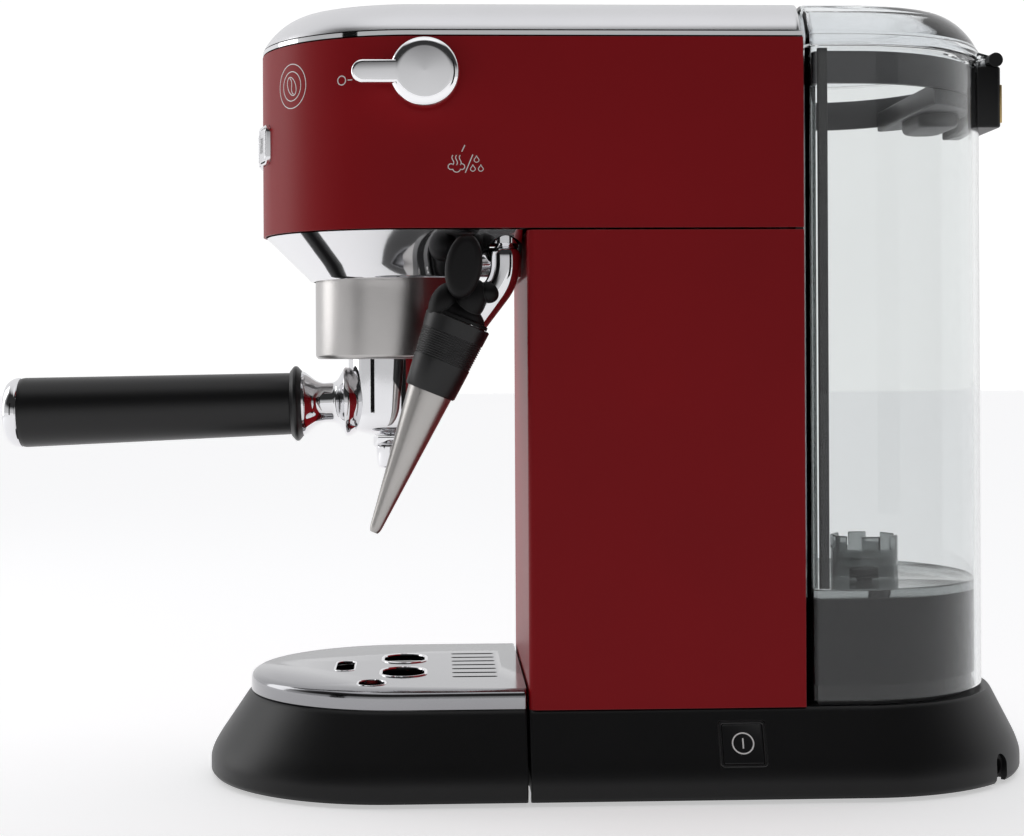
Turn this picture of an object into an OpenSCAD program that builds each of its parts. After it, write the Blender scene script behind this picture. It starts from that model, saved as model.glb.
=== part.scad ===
// Slim pump espresso machine with a side steam wand, a removable drip tray and a rear water tank.
// Units are millimetres. +Z is up, -X is the front where the cup stands, +X is the back with the tank,
// and -Y is the side with the steam knob and the steam wand. The machine stands on z = 0.

/* [Overall] */
// Depth from the tip of the portafilter handle to the back of the base
overall_len = 415; // [380:1:450]
// Depth of the base alone
base_len = 331; // [300:1:360]
// Width of the base at its widest
base_w = 149; // [135:1:180]
// Width of the column, the head and the base's top
body_w = 126; // [112:1:150]
// Height of the machine
height = 305; // [270:1:360]

/* [Base and drip tray] */
// Height of the base, up to the foot of the column
base_h = 34.3; // [28:0.1:42]
// How far the rubber feet stand out below the base
foot_h = 1.5; // [1:0.1:4]
// Wall of the moulded base and of the drip tray
base_wall = 2.5; // [2:0.1:4]
// Height of the band that runs straight up before the base tapers in
band_h = 11; // [6:0.5:16]
// How far the base's nose tapers in, from the bottom to the top
nose_taper = 16; // [10:0.5:20]
// Height of the cup plate above the base
plate_h = 7.8; // [5:0.1:12]
// Width of the gap between the drip tray and the base
tray_gap = 1; // [0.6:0.1:2]
// Travel of the drip tray's float
float_travel = 6; // [3:0.5:9]

/* [Column and head] */
// Depth of the column
column_len = 106; // [96:1:120]
// Height of the foot of the head above the counter
head_z = 217.8; // [200:0.1:270]
// Thickness of the painted sheet steel
sheet = 1; // [0.7:0.1:1.6]
// Seam between two panels
seam = 0.8; // [0.4:0.1:1.5]
// Height of the sloping rim of the top cover
cover_h = 11.7; // [9:0.1:16]
// How far the top cover slopes in from its edge
cover_slope = 12.5; // [9:0.5:18]
// Height of the bright funnel under the head
skirt_h = 17.6; // [12:0.1:24]
// Length of a push button on the nose
button_size = 13; // [10:0.5:15]

/* [Brew group and portafilter] */
// Outer radius of the portafilter's steel ring
ring_r = 30.3; // [28:0.1:33]
// Height of the steel ring below the funnel
ring_h = 31.5; // [24:0.5:40]
// Radius of the portafilter's lower body
pf_body_r = 17; // [14:0.5:20]
// Height of the portafilter's lower body
pf_body_h = 32; // [26:0.5:40]
// Radius of the handle at its outer end
handle_r = 14.2; // [12:0.1:17]
// Angle at which the handle droops towards its end
handle_droop = 1.6; // [0:0.1:6]
// Running clearance between the steel ring and the group
ring_clear = 0.7; // [0.4:0.1:1.2]

/* [Steam wand] */
// Radius of the steam pipe
pipe_r = 5.7; // [4:0.1:6]
// Angle of the wand from the vertical
wand_angle = 22; // [15:1:28]
// Length of the black sleeve
sleeve_len = 29.5; // [24:0.5:34]
// Largest radius of the black sleeve
sleeve_r = 12.9; // [11:0.1:14]
// Length of the steel nozzle below the sleeve
nozzle_len = 58; // [45:1:68]
// Travel of the sleeve between hot milk and froth
sleeve_travel = 4; // [2:0.5:6]

/* [Water tank] */
// Wall of the clear tank
tank_wall = 2.5; // [2:0.1:3.5]
// Height of the tank's floor above the counter
tank_floor_z = 78; // [68:1:95]
// Radius of the valve cup on the tank's floor
cup_r = 13.9; // [11:0.1:16]

/* [Steam knob] */
// Radius of the knob's disc
knob_r = 13.2; // [10:0.1:15]
// Reach of the knob's pointer from its axis
pointer_len = 27.4; // [20:0.1:30]
// How far the knob stands out of the panel
knob_h = 12; // [11:0.5:14]

/* [Hidden] */
$fn = 96;

// Fits
eps = 0.05;             // overlap that lets one cut pass cleanly through a face
clear = 0.3;            // gap between two pieces that move past each other
run = 0.08;             // radial clearance of a shaft in its bush

// Base
base_rear = overall_len / 2;
base_front = base_rear - base_len;
base_r = base_w / 2;
body_r = body_w / 2;
top_r = body_r - 0.5;                                // radius of the base's top edge
nose_x = base_front + base_r;                        // centre of the base's round front, at its foot
nose_top_x = base_front + nose_taper + top_r;        // the same at its top
tail_x = base_rear - base_r;                         // centre of the base's round back
side_slope = atan((base_r - top_r) / (base_h - band_h));

// Column and head
column_x = base_rear - 204;                          // front face of the column
column_rear = column_x + column_len;
head_top = height - cover_h - 2.7;                   // top edge of the painted head
head_nose_x = base_front + 22 + body_r;              // centre of the head's round front
trim_z = head_top + 0.6;
trim_h = 1.6;
cover_z = height - cover_h;
tray_rear = column_x - tray_gap;

// Brew group
group_x = head_nose_x - 11.7;
skirt_z = head_z - 0.5 - skirt_h;                    // foot of the bright funnel
group_clear_r = ring_r + ring_clear;
skirt_low_r = group_clear_r + 0.9;                   // from the brew axis to the funnel's lower lip
skirt_foot_r = head_nose_x - group_x + skirt_low_r;  // radius of the funnel's foot, round the head's centre
lug_r = ring_r + 2.2;
group_r = lug_r + 1.7;                               // the casting's radius, inside the funnel
funnel_slope = (skirt_h - 1.6) / (group_x - skirt_low_r - head_nose_x + body_r - 2.3);
lug_z = skirt_z + 3.6 + funnel_slope * (group_r - skirt_low_r + 1);  // underside of the bayonet lugs
lug_h = 4;
ring_z = skirt_z - ring_h;                           // foot of the steel ring
basket_r = ring_r - 3.5;
gasket_z = lug_z + lug_h + 1.2;
insert_angle = -42;                                  // handle angle at which the lugs enter
handle_len = overall_len / 2 + group_x;              // handle tip to the brew axis
handle_z = ring_z - pf_body_r;
cap_len = 7.5;
collar_x = 37;                                       // outer end of the collar, from the brew axis
grip_from = collar_x + 3;

// Steam wand
pivot = [column_x - 8, -body_r + 10];                // vertical axis that the wand swings about
elbow_z = skirt_z - 0.8;
sleeve_top = [-18.2, -17];                           // sleeve's top from the pivot, along X and down from the funnel
neck_r = pipe_r - 2;                                      // the pipe's thin end, which turns in the bush
bush_r = neck_r + 1.7;
sleeve_end_r = sleeve_r * 0.767;
nozzle_r = sleeve_end_r - 1.1;
core_r = nozzle_r * 0.86;
nozzle_tip_r = 2;

// Knob and buttons
knob = [base_front + 88.4, -body_r, head_top - 14.9];
spindle_r = 3;
button_z = (head_z + head_top) / 2 - 0.3;
button_angles = [-15.5, 0, 15.5];
button_travel = 1.2;
switch_at = [column_x + 80.6, 21.7];                 // X and Z of the power button
switch_size = 18;
switch_travel = 2;

// Tank
tank_front = column_rear + 1.5;
tank_r = body_r - 1;
tank_x = base_rear - 15 - tank_r;                    // centre of the tank's round back
tank_z = base_h + 2;
tank_top = head_top - 3;
lid_z = tank_top + 0.5;
collar_h = 13;
cup = [tank_x + 15.3, 0];
hinge = [tank_x + tank_r + 2.8, lid_z - 0.2];        // X and Z of the lid's hinge
knuckle_r = 2.9;
pin_r = 1.2;
seat_top = tank_floor_z - 7;
socket_r = 7;

// Pump, in the column
pump = [column_x + 32, -24];
pump_r = 15;
pump_z = 66;
pump_len = 52;
piston_r = 4;
piston_travel = 3;

// A D-shaped outline: a half disc at centre x, then straight sides to x = to. It points either way.
module d_plan(centre, to, r) {
    difference() {
        union() {
            circle_at(centre, r);
            translate([min(centre, to), -r]) square([abs(to - centre), 2 * r]);
        }
        translate([to > centre ? to : to - 2 * r, -r - 1]) square([2 * r, 2 * r + 2]);
    }
}

module circle_at(x, r) {
    translate([x, 0]) circle(r);
}

// A profile of [distance from the centre line, z], turned round the nose and run straight back to x = to.
module d_sweep(centre, to, profile) {
    way = to > centre ? 1 : -1;
    translate([centre, 0, 0]) {
        rotate([0, 0, way > 0 ? 90 : -90]) rotate_extrude(angle = 180) polygon(profile);
        for (side = [1, -1])
            rotate([90, 0, way > 0 ? 90 : -90]) linear_extrude(abs(to - centre))
                polygon([for (p = profile) [side * p[0], p[1]]]);
    }
}

// A thin slice of a D outline, for hulls.
module d_slice(centre, to, r, z, thick = 0.01) {
    translate([0, 0, z]) linear_extrude(thick) d_plan(centre, to, r);
}

// A pipe through a list of points, with a slightly fuller ball at each bend.
module rod(points, r) {
    last = len(points) - 1;
    for (i = [0 : last - 1]) {
        v = points[i + 1] - points[i];
        translate(points[i]) rotate([0, acos(v[2] / norm(v)), atan2(v[1], v[0])]) cylinder(r = r, h = norm(v));
        if (i > 0) translate(points[i]) sphere(r * 1.07);
    }
}

// A box with rounded upright edges, centred on the origin and standing on it.
module pad(length, width, tall, r) {
    translate([-length / 2 + r, -width / 2, 0]) cube([length - 2 * r, width, tall]);
    translate([-length / 2, -width / 2 + r, 0]) cube([length, width - 2 * r, tall]);
    for (x = [-1, 1], y = [-1, 1])
        translate([x * (length / 2 - r), y * (width / 2 - r), 0]) cylinder(r = r, h = tall);
}

// A coil spring that stands on the origin: one tube swept along a helix.
module coil_spring(r, wire_r, tall, turns) {
    sides = 8;
    rings = 14 * turns;
    points = [for (i = [0 : rings], k = [0 : sides - 1])
        let (a = 360 * turns * i / rings, b = 360 * k / sides, q = r + wire_r * cos(b))
        [q * cos(a), q * sin(a), wire_r + (tall - 2 * wire_r) * i / rings + wire_r * sin(b)]];
    walls = [for (i = [0 : rings - 1], k = [0 : sides - 1])
        let (a = i * sides + k, b = i * sides + (k + 1) % sides) [a, b, b + sides, a + sides]];
    polyhedron(points, concat(walls, [[for (k = [sides - 1 : -1 : 0]) k],
        [for (k = [0 : sides - 1]) rings * sides + k]]));
}

// The base's outer form, inset by a wall, from z = from to z = to. It runs straight up, then tapers in.
function taper_at(z) = max(0, z - band_h) / (base_h - band_h);
module base_form(inset, from, to) {
    hull() {
        translate([0, 0, from]) linear_extrude(max(0.2, band_h - from)) base_outline(inset, from);
        translate([0, 0, to - 0.2]) linear_extrude(0.2) base_outline(inset, to);
    }
}

module base_outline(inset, z) {
    r = base_r + (top_r - base_r) * taper_at(z) - inset;
    circle_at(nose_x + (nose_top_x - nose_x) * taper_at(z), r);
    circle_at(tail_x, r);
}

// The straight lower part of the same form.
module base_band(inset, from, to) {
    translate([0, 0, from]) linear_extrude(to - from) {
        for (x = [nose_x, tail_x]) circle_at(x, base_r - inset);
        translate([nose_x, -base_r + inset]) square([tail_x - nose_x, 2 * (base_r - inset)]);
    }
}

// Puts its children on the base's sloping side, with +Z pointing out of it.
module on_base_side(x, z) {
    y = base_r - (z - band_h) * tan(side_slope);
    translate([x, -y, z]) rotate([90 - side_slope, 0, 0]) children();
}

// Puts its children on the head's side panel, with +Z pointing out of it.
module on_head_side(at) {
    translate(at) rotate([90, 0, 0]) children();
}

// Puts its children on the nose at an angle from straight ahead, with +Z pointing out of it.
module on_nose(angle, z) {
    translate([head_nose_x, 0, z]) rotate([0, 0, 180 + angle]) translate([body_r, 0, 0]) rotate([0, 90, 0]) children();
}

// The plastic base below the column and the tank.
module base_housing() {
    color([0.07, 0.07, 0.075]) difference() {
        intersection() {
            base_form(0, foot_h, base_h);
            translate([column_x, -100, 0]) cube([300, 200, 100]);
        }
        intersection() {
            base_form(base_wall, foot_h - 1, base_h - base_wall);
            translate([column_x + base_wall, -100, 0]) cube([300, 200, 100]);
        }
        translate([column_x - 1, -49, 0]) cube([base_wall + 2, 98, 10]);
        on_base_side(switch_at[0], switch_at[1]) translate([0, 0, -14]) pad(switch_size + 0.2, switch_size + 0.2, 16, 1.2);
        cord_notch();
        translate([cup[0], cup[1], base_h - base_wall - 1]) cylinder(r = socket_r + 1, h = 5);
        translate([pump[0], pump[1], base_h - base_wall - 1]) cylinder(r = 6, h = 5);
    }
}

cord_angle = -41;
module cord_notch() {
    translate([tail_x, 0, 0]) rotate([0, 0, cord_angle]) {
        translate([base_r - 8, -4.5, 0]) cube([12, 9, 8]);
        translate([base_r - 8, 0, 8]) rotate([0, 90, 0]) cylinder(r = 4.5, h = 12);
    }
}

// The grommet that the mains lead would pass through.
module cord_gland() {
    color([0.04, 0.04, 0.04]) translate([tail_x, 0, 7.5]) rotate([0, 0, cord_angle]) translate([base_r - 7, 0, 0])
        rotate([0, 90, 0]) difference() {
            cylinder(r = 4.3, h = 5);
            translate([0, 0, -1]) cylinder(r = 3, h = 7);
        }
}

// The bottom plate, with the tongue that reaches forward under the drip tray.
module base_plate() {
    color([0.1, 0.1, 0.1]) {
        intersection() {
            base_band(base_wall + 0.4, foot_h + 0.5, foot_h + 3);
            difference() {
                translate([column_x + base_wall + 0.4, -100, 0]) cube([300, 200, 20]);
                translate([tail_x, 0, 0]) rotate([0, 0, cord_angle]) translate([base_r - 12, -6, 0]) cube([20, 12, 20]);
            }
        }
        difference() {
            translate([nose_x - 42, -46, foot_h + 0.5]) cube([column_x + 55 - nose_x, 92, 7]);
            translate([nose_x - 36, -40, foot_h + 3]) cube([column_x + 30 - nose_x, 80, 20]);
        }
    }
}

foot_at = [[nose_x - 30, 34], [nose_x - 30, -34], [tail_x + 30, 46], [tail_x + 30, -46]];
module rubber_feet() {
    color([0.05, 0.05, 0.05]) for (p = foot_at)
        translate([p[0], p[1], 0]) cylinder(r = 8, h = foot_h + 0.5);
}

module switch_bezel() {
    color([0.05, 0.05, 0.055]) on_base_side(switch_at[0], switch_at[1]) translate([0, 0, -9]) difference() {
        pad(switch_size, switch_size, 9.2, 1.1);
        translate([0, 0, 1.5]) pad(switch_size - 1.8, switch_size - 1.8, 9, 0.8);
    }
}

module power_button() {
    color([0.06, 0.06, 0.065]) on_base_side(switch_at[0], switch_at[1]) translate([0, 0, -4]) difference() {
        pad(switch_size - 2.4, switch_size - 2.4, 4.1, 0.7);
        translate([0, 0, -1]) pad(switch_size - 6, switch_size - 6, 3, 0.6);
    }
}

// The painted column: a bent sheet with a closed front and two sides.
module column_shell() {
    color([0.45, 0.06, 0.08]) translate([0, 0, base_h]) linear_extrude(head_z - seam - base_h) difference() {
        column_plan(0);
        column_plan(sheet);
    }
}

column_corner = 3;
module column_plan(inset) {
    half = body_r - inset;
    r = column_corner - inset;
    translate([column_x + column_corner, -half]) square([column_len - column_corner + (inset > 0 ? 1 : 0), 2 * half]);
    translate([column_x + inset, -half + r]) square([column_corner - inset + eps, 2 * (half - r)]);
    for (side = [-1, 1]) translate([column_x + column_corner, side * (half - r)]) circle(r);
}

// The painted head: a sheet that wraps round the nose.
module head_shell() {
    color([0.45, 0.06, 0.08]) difference() {
        d_sweep(head_nose_x, column_rear,
            [[body_r - sheet, head_z], [body_r, head_z], [body_r, head_top], [body_r - sheet, head_top]]);
        on_head_side(knob) translate([0, 0, -5]) cylinder(r = spindle_r + 2.5, h = 10);
        for (a = button_angles) on_nose(a, button_z) translate([0, 0, -5]) pad(button_size + 2.8, button_size + 2.8, 10, 2.9);
    }
}

module top_trim() {
    color([0.8, 0.8, 0.82]) d_sweep(head_nose_x, column_rear,
        [[body_r - 6, trim_z], [body_r - 0.2, trim_z], [body_r - 0.2, trim_z + trim_h], [body_r - 6, trim_z + trim_h]]);
    color([0.8, 0.8, 0.82]) translate([column_rear - 6, -body_r + 3, trim_z]) cube([6, body_w - 6, trim_h]);
}

// Points of the cover's outer edge, from its foot to the flat top, as a soft slope.
function cover_edge(r, z, tall, slope) = [for (i = [0 : 8]) let (t = i / 8)
    [r - slope * pow(t, 1.25), z + tall * sin(90 * t) * 0.45 + tall * t * 0.55]];

module top_cover() {
    outer = cover_edge(body_r - 0.5, cover_z, cover_h, cover_slope);
    recess = body_r - cover_slope - 4.5;
    color([0.82, 0.82, 0.84]) {
        d_sweep(head_nose_x, column_rear - 0.3, concat([[0, height - 3.2], [body_r - 10, height - 3.2],
            [body_r - 4, cover_z + 2.4], [body_r - 4, cover_z]], outer, [[recess, height], [recess, height - 1.4], [0, height - 1.4]]));
        translate([column_rear - 2.3, -body_r + 6, cover_z]) cube([2, body_w - 12, cover_h - 3]);
    }
}

module warmer_plate() {
    r = body_r - cover_slope - 5;
    color([0.7, 0.7, 0.7]) difference() {
        translate([0, 0, height - 1.3]) linear_extrude(1.2) d_plan(head_nose_x, column_rear - 8, r);
        for (x = [0 : 12 : 72]) translate([head_nose_x + 10 + x, 0, height - 2]) pad(2.4, r * 1.2, 4, 1.15);
    }
}

// The bright funnel under the head, with the hole that the portafilter goes up into.
module head_skirt() {
    color([0.82, 0.82, 0.84]) difference() {
        hull() {
            d_slice(head_nose_x, column_x - 1.5, body_r - 1.5, head_z - 0.52, $fn = 96);
            d_slice(head_nose_x, column_x - 1.5, skirt_foot_r, skirt_z, $fn = 96);
        }
        hull() {
            d_slice(head_nose_x, column_x - 2.6, body_r - 2.6, head_z, $fn = 96);
            d_slice(head_nose_x, column_x - 2.6, skirt_foot_r - 1, skirt_z + 0.8, $fn = 96);
        }
        translate([group_x, 0, skirt_z - 1]) cylinder(r = group_clear_r, h = 3);
        translate([pivot[0], pivot[1], skirt_z - 1]) cylinder(r = pipe_r + 0.6, h = 30);
    }
}

module wand_bush() {
    color([0.8, 0.8, 0.82]) translate([pivot[0], pivot[1], 0]) difference() {
        translate([0, 0, head_z - 5.5]) cylinder(r = bush_r, h = 10.5);
        translate([0, 0, skirt_z - 1]) cylinder(r = neck_r + run, h = 40);
    }
}

// The plastic skeleton: a floor, a back, and the shelf that carries the group and the heating block.
module inner_frame() {
    frame_y = body_r - 5;
    shelf_z = head_z + 2;
    color([0.12, 0.12, 0.12]) difference() {
        union() {
            translate([column_x + 3, -frame_y, base_h]) cube([column_len - 7, 2 * frame_y, 3]);
            translate([column_rear - 8, -frame_y, base_h + 3]) cube([3, 2 * frame_y, head_top - base_h - 8]);
            translate([group_x - 29, -frame_y + 14, shelf_z]) cube([column_rear - 8 - group_x + 29, 2 * frame_y - 28, 3]);
            translate([pivot[0] - 10, pivot[1] - 6, shelf_z]) cube([20, 20, 3]);
            for (x = [-22, 44], y = [-24, 24]) translate([group_x + x, y, shelf_z + 3]) cylinder(r = 4, h = 7.5);
            for (y = [-38, 38], z = [115, 185]) translate([column_rear - 22.4, y, z]) rotate([0, 90, 0]) cylinder(r = 2.5, h = 14.6);
        }
        translate([group_x, 0, head_z]) cylinder(r = 14, h = 10);
        translate([pivot[0], pivot[1], head_z]) cylinder(r = bush_r + 0.05, h = 10);
        translate([pump[0], pump[1], base_h - 1]) cylinder(r = 8, h = 8);
        translate([pump[0], pump[1], head_z]) cylinder(r = 5, h = 10);
    }
}

module rear_panel() {
    color([0.06, 0.06, 0.065]) translate([column_rear - 3, -body_r + sheet + 0.3, base_h])
        cube([3, body_w - 2 * sheet - 0.6, trim_z - base_h - 0.3]);
}

// The pedestal that the tank slides down over.
module tank_seat() {
    r = tank_r - tank_wall - 1.5;
    front = tank_front + tank_wall + 1.5;
    color([0.09, 0.09, 0.1]) difference() {
        translate([0, 0, base_h]) linear_extrude(seat_top - base_h) d_plan(tank_x, front, r);
        translate([0, 0, base_h - 1]) linear_extrude(seat_top - base_h - 2) d_plan(tank_x, front + 3, r - 3);
        translate([cup[0], cup[1], base_h]) cylinder(r = socket_r + 0.1, h = seat_top);
    }
}

// The socket that the tank's valve sits in.
module inlet_socket() {
    color([0.15, 0.15, 0.15]) translate([cup[0], cup[1], 0]) difference() {
        union() {
            translate([0, 0, seat_top - 22]) cylinder(r = socket_r, h = 22);
            translate([0, 0, seat_top - 25]) cylinder(r = 3.5, h = 4);
        }
        translate([0, 0, seat_top - 6]) cylinder(r = 5.4, h = 7);
        translate([0, 0, seat_top - 14]) cylinder(r = 2.2, h = 16);
    }
}

// The group: a casting whose ledge holds the portafilter's two lugs.
module group_head() {
    color([0.6, 0.6, 0.6]) translate([group_x, 0, 0]) difference() {
        union() {
            translate([0, 0, lug_z - 1.6]) cylinder(r = group_r, h = head_z + 1.5 - lug_z + 1.6);
            translate([0, 0, head_z + 1.5]) cylinder(r = 13, h = 9);
        }
        translate([0, 0, skirt_z]) cylinder(r = group_clear_r, h = gasket_z + 3.5 - skirt_z);
        translate([0, 0, lug_z - 0.4]) cylinder(r = lug_r + 0.5, h = lug_h + 1.4);
        for (a = [90, -90]) rotate([0, 0, a + insert_angle]) translate([0, -9, skirt_z]) cube([lug_r + 0.5, 18, 8]);
        translate([0, 0, gasket_z + 3]) cylinder(r = 2.2, h = 20);
    }
}

module group_gasket() {
    color([0.05, 0.05, 0.05]) translate([group_x, 0, gasket_z]) difference() {
        cylinder(r = ring_r - 0.5, h = 3.5);
        translate([0, 0, -1]) cylinder(r = ring_r - 6.5, h = 6);
    }
}

module shower_screen() {
    color([0.75, 0.75, 0.75]) translate([group_x, 0, gasket_z + 0.5]) difference() {
        cylinder(r = ring_r - 7, h = 1);
        for (ring = [1 : 3], i = [0 : 6 * ring - 1]) rotate([0, 0, i * 60 / ring]) translate([ring * 6, 0, -1]) cylinder(r = 0.9, h = 3, $fn = 16);
        translate([0, 0, -1]) cylinder(r = 2.2, h = 3);
    }
}

module screen_screw() {
    color([0.6, 0.6, 0.6]) translate([group_x, 0, gasket_z - 1.2]) {
        cylinder(r = 3.2, h = 1.7);
        cylinder(r = 2, h = 12);
    }
}

// The heating block above the group, with its two ports.
module thermoblock() {
    color([0.7, 0.7, 0.72]) translate([group_x, 0, head_z + 12.5]) {
        difference() {
            translate([-32, -28, 0]) cube([88, 56, 24]);
            for (y = [-20 : 10 : 20]) translate([-28, y - 1.5, 20]) cube([78, 3, 5]);
        }
        translate([20, -18, 24]) cylinder(r = 4, h = 7);
        translate([knob[0] - group_x, 18, 24]) cylinder(r = 4, h = 7);
    }
}

module pump_body() {
    color([0.2, 0.2, 0.2]) translate([pump[0], pump[1], pump_z]) difference() {
        union() {
            cylinder(r = 7, h = pump_len);
            translate([-pump_r - 3, -pump_r, 12]) cube([2 * pump_r + 6, 2 * pump_r, pump_len - 24]);
            translate([0, 0, pump_len]) cylinder(r = 3, h = 8);
        }
        translate([0, 0, 4]) cylinder(r = piston_r + 0.6, h = pump_len - 10);
        translate([0, 0, -1]) cylinder(r = 2, h = 6);
    }
}

module pump_mounts() {
    color([0.05, 0.05, 0.05]) for (z = [pump_z + 4, pump_z + pump_len - 9])
        translate([pump[0], pump[1], z]) difference() {
            translate([-13, -13, 0]) cube([26, 26, 5]);
            translate([0, 0, -1]) cylinder(r = 7.1, h = 7);
        }
}

module pump_piston() {
    color([0.7, 0.7, 0.7]) translate([pump[0], pump[1], pump_z + 8]) cylinder(r = piston_r, h = 18);
}

module pump_spring() {
    color([0.6, 0.6, 0.6]) translate([pump[0], pump[1], pump_z + 26 + clear]) coil_spring(3, 0.5, 19, 6);
}

module control_board() {
    color([0.1, 0.35, 0.2]) translate([column_rear - 24, -45, 110]) {
        cube([1.6, 90, 80]);
        for (i = [0 : 3]) translate([-10, 8 + 20 * i, 12 + 8 * i]) cube([10, 12, 16]);
    }
}

module steam_valve() {
    color([0.65, 0.6, 0.5]) difference() {
        translate([knob[0] - 11, knob[1] + 8, knob[2] - 11]) cube([22, 16, 22]);
        on_head_side(knob) translate([0, 0, -20]) cylinder(r = spindle_r + run, h = 30);
    }
}

// Silicone hose from the tank's socket, through the base, to the pump's foot.
module inlet_hose() {
    low = base_h - 14;
    color([0.85, 0.85, 0.85]) rod([[cup[0], cup[1], seat_top - 25], [cup[0], cup[1], low],
        [pump[0], cup[1], low], [pump[0], pump[1], low], [pump[0], pump[1], pump_z]], 3);
}

port_top = head_z + 12.5 + 31;
module pressure_hose() {
    color([0.9, 0.9, 0.9]) rod([[pump[0], pump[1], pump_z + pump_len + 8], [pump[0], pump[1], port_top + 8],
        [pump[0], -18, port_top + 8], [group_x + 20, -18, port_top + 8], [group_x + 20, -18, port_top]], 2.5);
}

module steam_line() {
    run_z = knob[2] - 5;
    color([0.75, 0.75, 0.75]) {
        translate([knob[0], 18, port_top]) cylinder(r = 2, h = run_z - port_top);
        translate([knob[0], 18, run_z - 4]) cylinder(r = 3.2, h = 8);
        translate([knob[0], 18, run_z]) rotate([90, 0, 0]) cylinder(r = 2, h = 18 - knob[1] - 24);
    }
}

module button_bezels() {
    size = button_size + 2.6;
    color([0.8, 0.8, 0.82]) for (a = button_angles) on_nose(a, button_z) translate([0, 0, -4]) difference() {
        pad(size, size, 5.4, 2.8);
        translate([0, 0, -1]) pad(button_size + 2 * clear, button_size + 2 * clear, 10, 1.8);
    }
}

module nose_button(angle) {
    color([0.78, 0.78, 0.8]) on_nose(angle, button_z) translate([0, 0, -6]) pad(button_size, button_size, 7.7, 1.6);
}

module steam_knob() {
    arm = 4.4;
    color([0.82, 0.82, 0.84]) on_head_side(knob) difference() {
        union() {
            translate([0, 0, clear]) cylinder(r = knob_r - 3, h = 4);
            translate([0, 0, 3.5]) cylinder(r = knob_r, h = knob_h - 3.5);
            translate([-pointer_len + arm, -arm, knob_h - 7]) cube([pointer_len - arm, 2 * arm, 7]);
            translate([-pointer_len + arm, 0, knob_h - 7]) cylinder(r = arm, h = 7);
        }
        translate([0, 0, -1]) cylinder(r = spindle_r, h = 9);
    }
}

module valve_spindle() {
    color([0.7, 0.65, 0.5]) on_head_side(knob) translate([0, 0, -19]) cylinder(r = spindle_r, h = 26.5);
}

// Portafilter: everything here turns about the brew axis.
module portafilter_ring() {
    color([0.6, 0.59, 0.57]) translate([group_x, 0, 0]) {
        difference() {
            translate([0, 0, ring_z]) cylinder(r = ring_r, h = lug_z + lug_h - ring_z);
            translate([0, 0, ring_z + 2]) cylinder(r = ring_r - 2, h = 60);
            translate([0, 0, ring_z - 1]) cylinder(r = pf_body_r - 4, h = 5);
        }
        for (a = [90, -90]) rotate([0, 0, a]) intersection() {
            translate([0, 0, lug_z]) difference() {
                cylinder(r = lug_r, h = lug_h);
                translate([0, 0, -1]) cylinder(r = ring_r - 1, h = lug_h + 2);
            }
            translate([0, -7, lug_z - 1]) cube([lug_r + 1, 14, lug_h + 2]);
        }
    }
}

module handle_line() {
    translate([group_x, 0, handle_z]) rotate([0, -90 - handle_droop, 0]) children();
}

module portafilter_body() {
    color([0.82, 0.82, 0.84]) {
        translate([group_x, 0, ring_z - pf_body_h]) difference() {
            rotate_extrude() polygon([[0, 0], [pf_body_r - 4, 0], [pf_body_r - 1.2, 1.2], [pf_body_r, 4],
                [pf_body_r, pf_body_h], [0, pf_body_h]]);
            translate([0, 0, 3]) cylinder(r = pf_body_r - 2.5, h = pf_body_h);
            translate([0, 0, -1]) cylinder(r = 3, h = 10);
        }
        handle_line() difference() {
            rotate_extrude() polygon([[0, pf_body_r - 2], [12, pf_body_r - 2], [14.2, pf_body_r + 0.4], [14.2, pf_body_r + 1.4],
                [9.5, pf_body_r + 3.2], [8.2, pf_body_r + 5.5], [8.2, collar_x - 9.5], [9.4, collar_x - 7.5],
                [13, collar_x - 2.5], [13.2, collar_x - 1.2], [0, collar_x - 1.2]]);
            translate([0, 0, pf_body_r - 4]) cylinder(r = 4, h = 3);
        }
    }
}

module filter_basket() {
    color([0.7, 0.7, 0.7]) translate([group_x, 0, 0]) difference() {
        union() {
            translate([0, 0, lug_z + lug_h]) cylinder(r = ring_r, h = 0.8);
            translate([0, 0, lug_z + lug_h - 26]) cylinder(r = basket_r, h = 26.5);
        }
        translate([0, 0, lug_z + lug_h - 25]) cylinder(r = basket_r - 1, h = 30);
        translate([0, 0, lug_z]) for (ring = [1 : 3], i = [0 : 6 * ring - 1])
            rotate([0, 0, i * 60 / ring]) translate([ring * 6, 0, -30]) cylinder(r = 0.6, h = 12, $fn = 16);
    }
}

module handle_collar() {
    color([0.04, 0.04, 0.04]) handle_line() rotate_extrude() polygon([[0, collar_x - 1.2], [13.4, collar_x - 1.2],
        [15.4, collar_x + 0.6], [15.4, collar_x + 1.6], [13.6, grip_from], [0, grip_from]]);
}

module handle_grip() {
    color([0.05, 0.05, 0.05]) handle_line() translate([0, 0, grip_from])
        cylinder(r1 = handle_r - 1.8, r2 = handle_r, h = handle_len - cap_len - grip_from);
}

module handle_cap() {
    from = handle_len - cap_len;
    color([0.82, 0.82, 0.84]) handle_line() rotate_extrude() polygon(concat([[0, from]],
        [for (i = [0 : 10]) let (a = 9 * i) [(handle_r - 3) + 3 * cos(a) * (1 - 0.25 * sin(a)) - 1.6 * sin(a), from + 2 + (cap_len - 2) * sin(a)]],
        [[0, handle_len]]));
}

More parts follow.
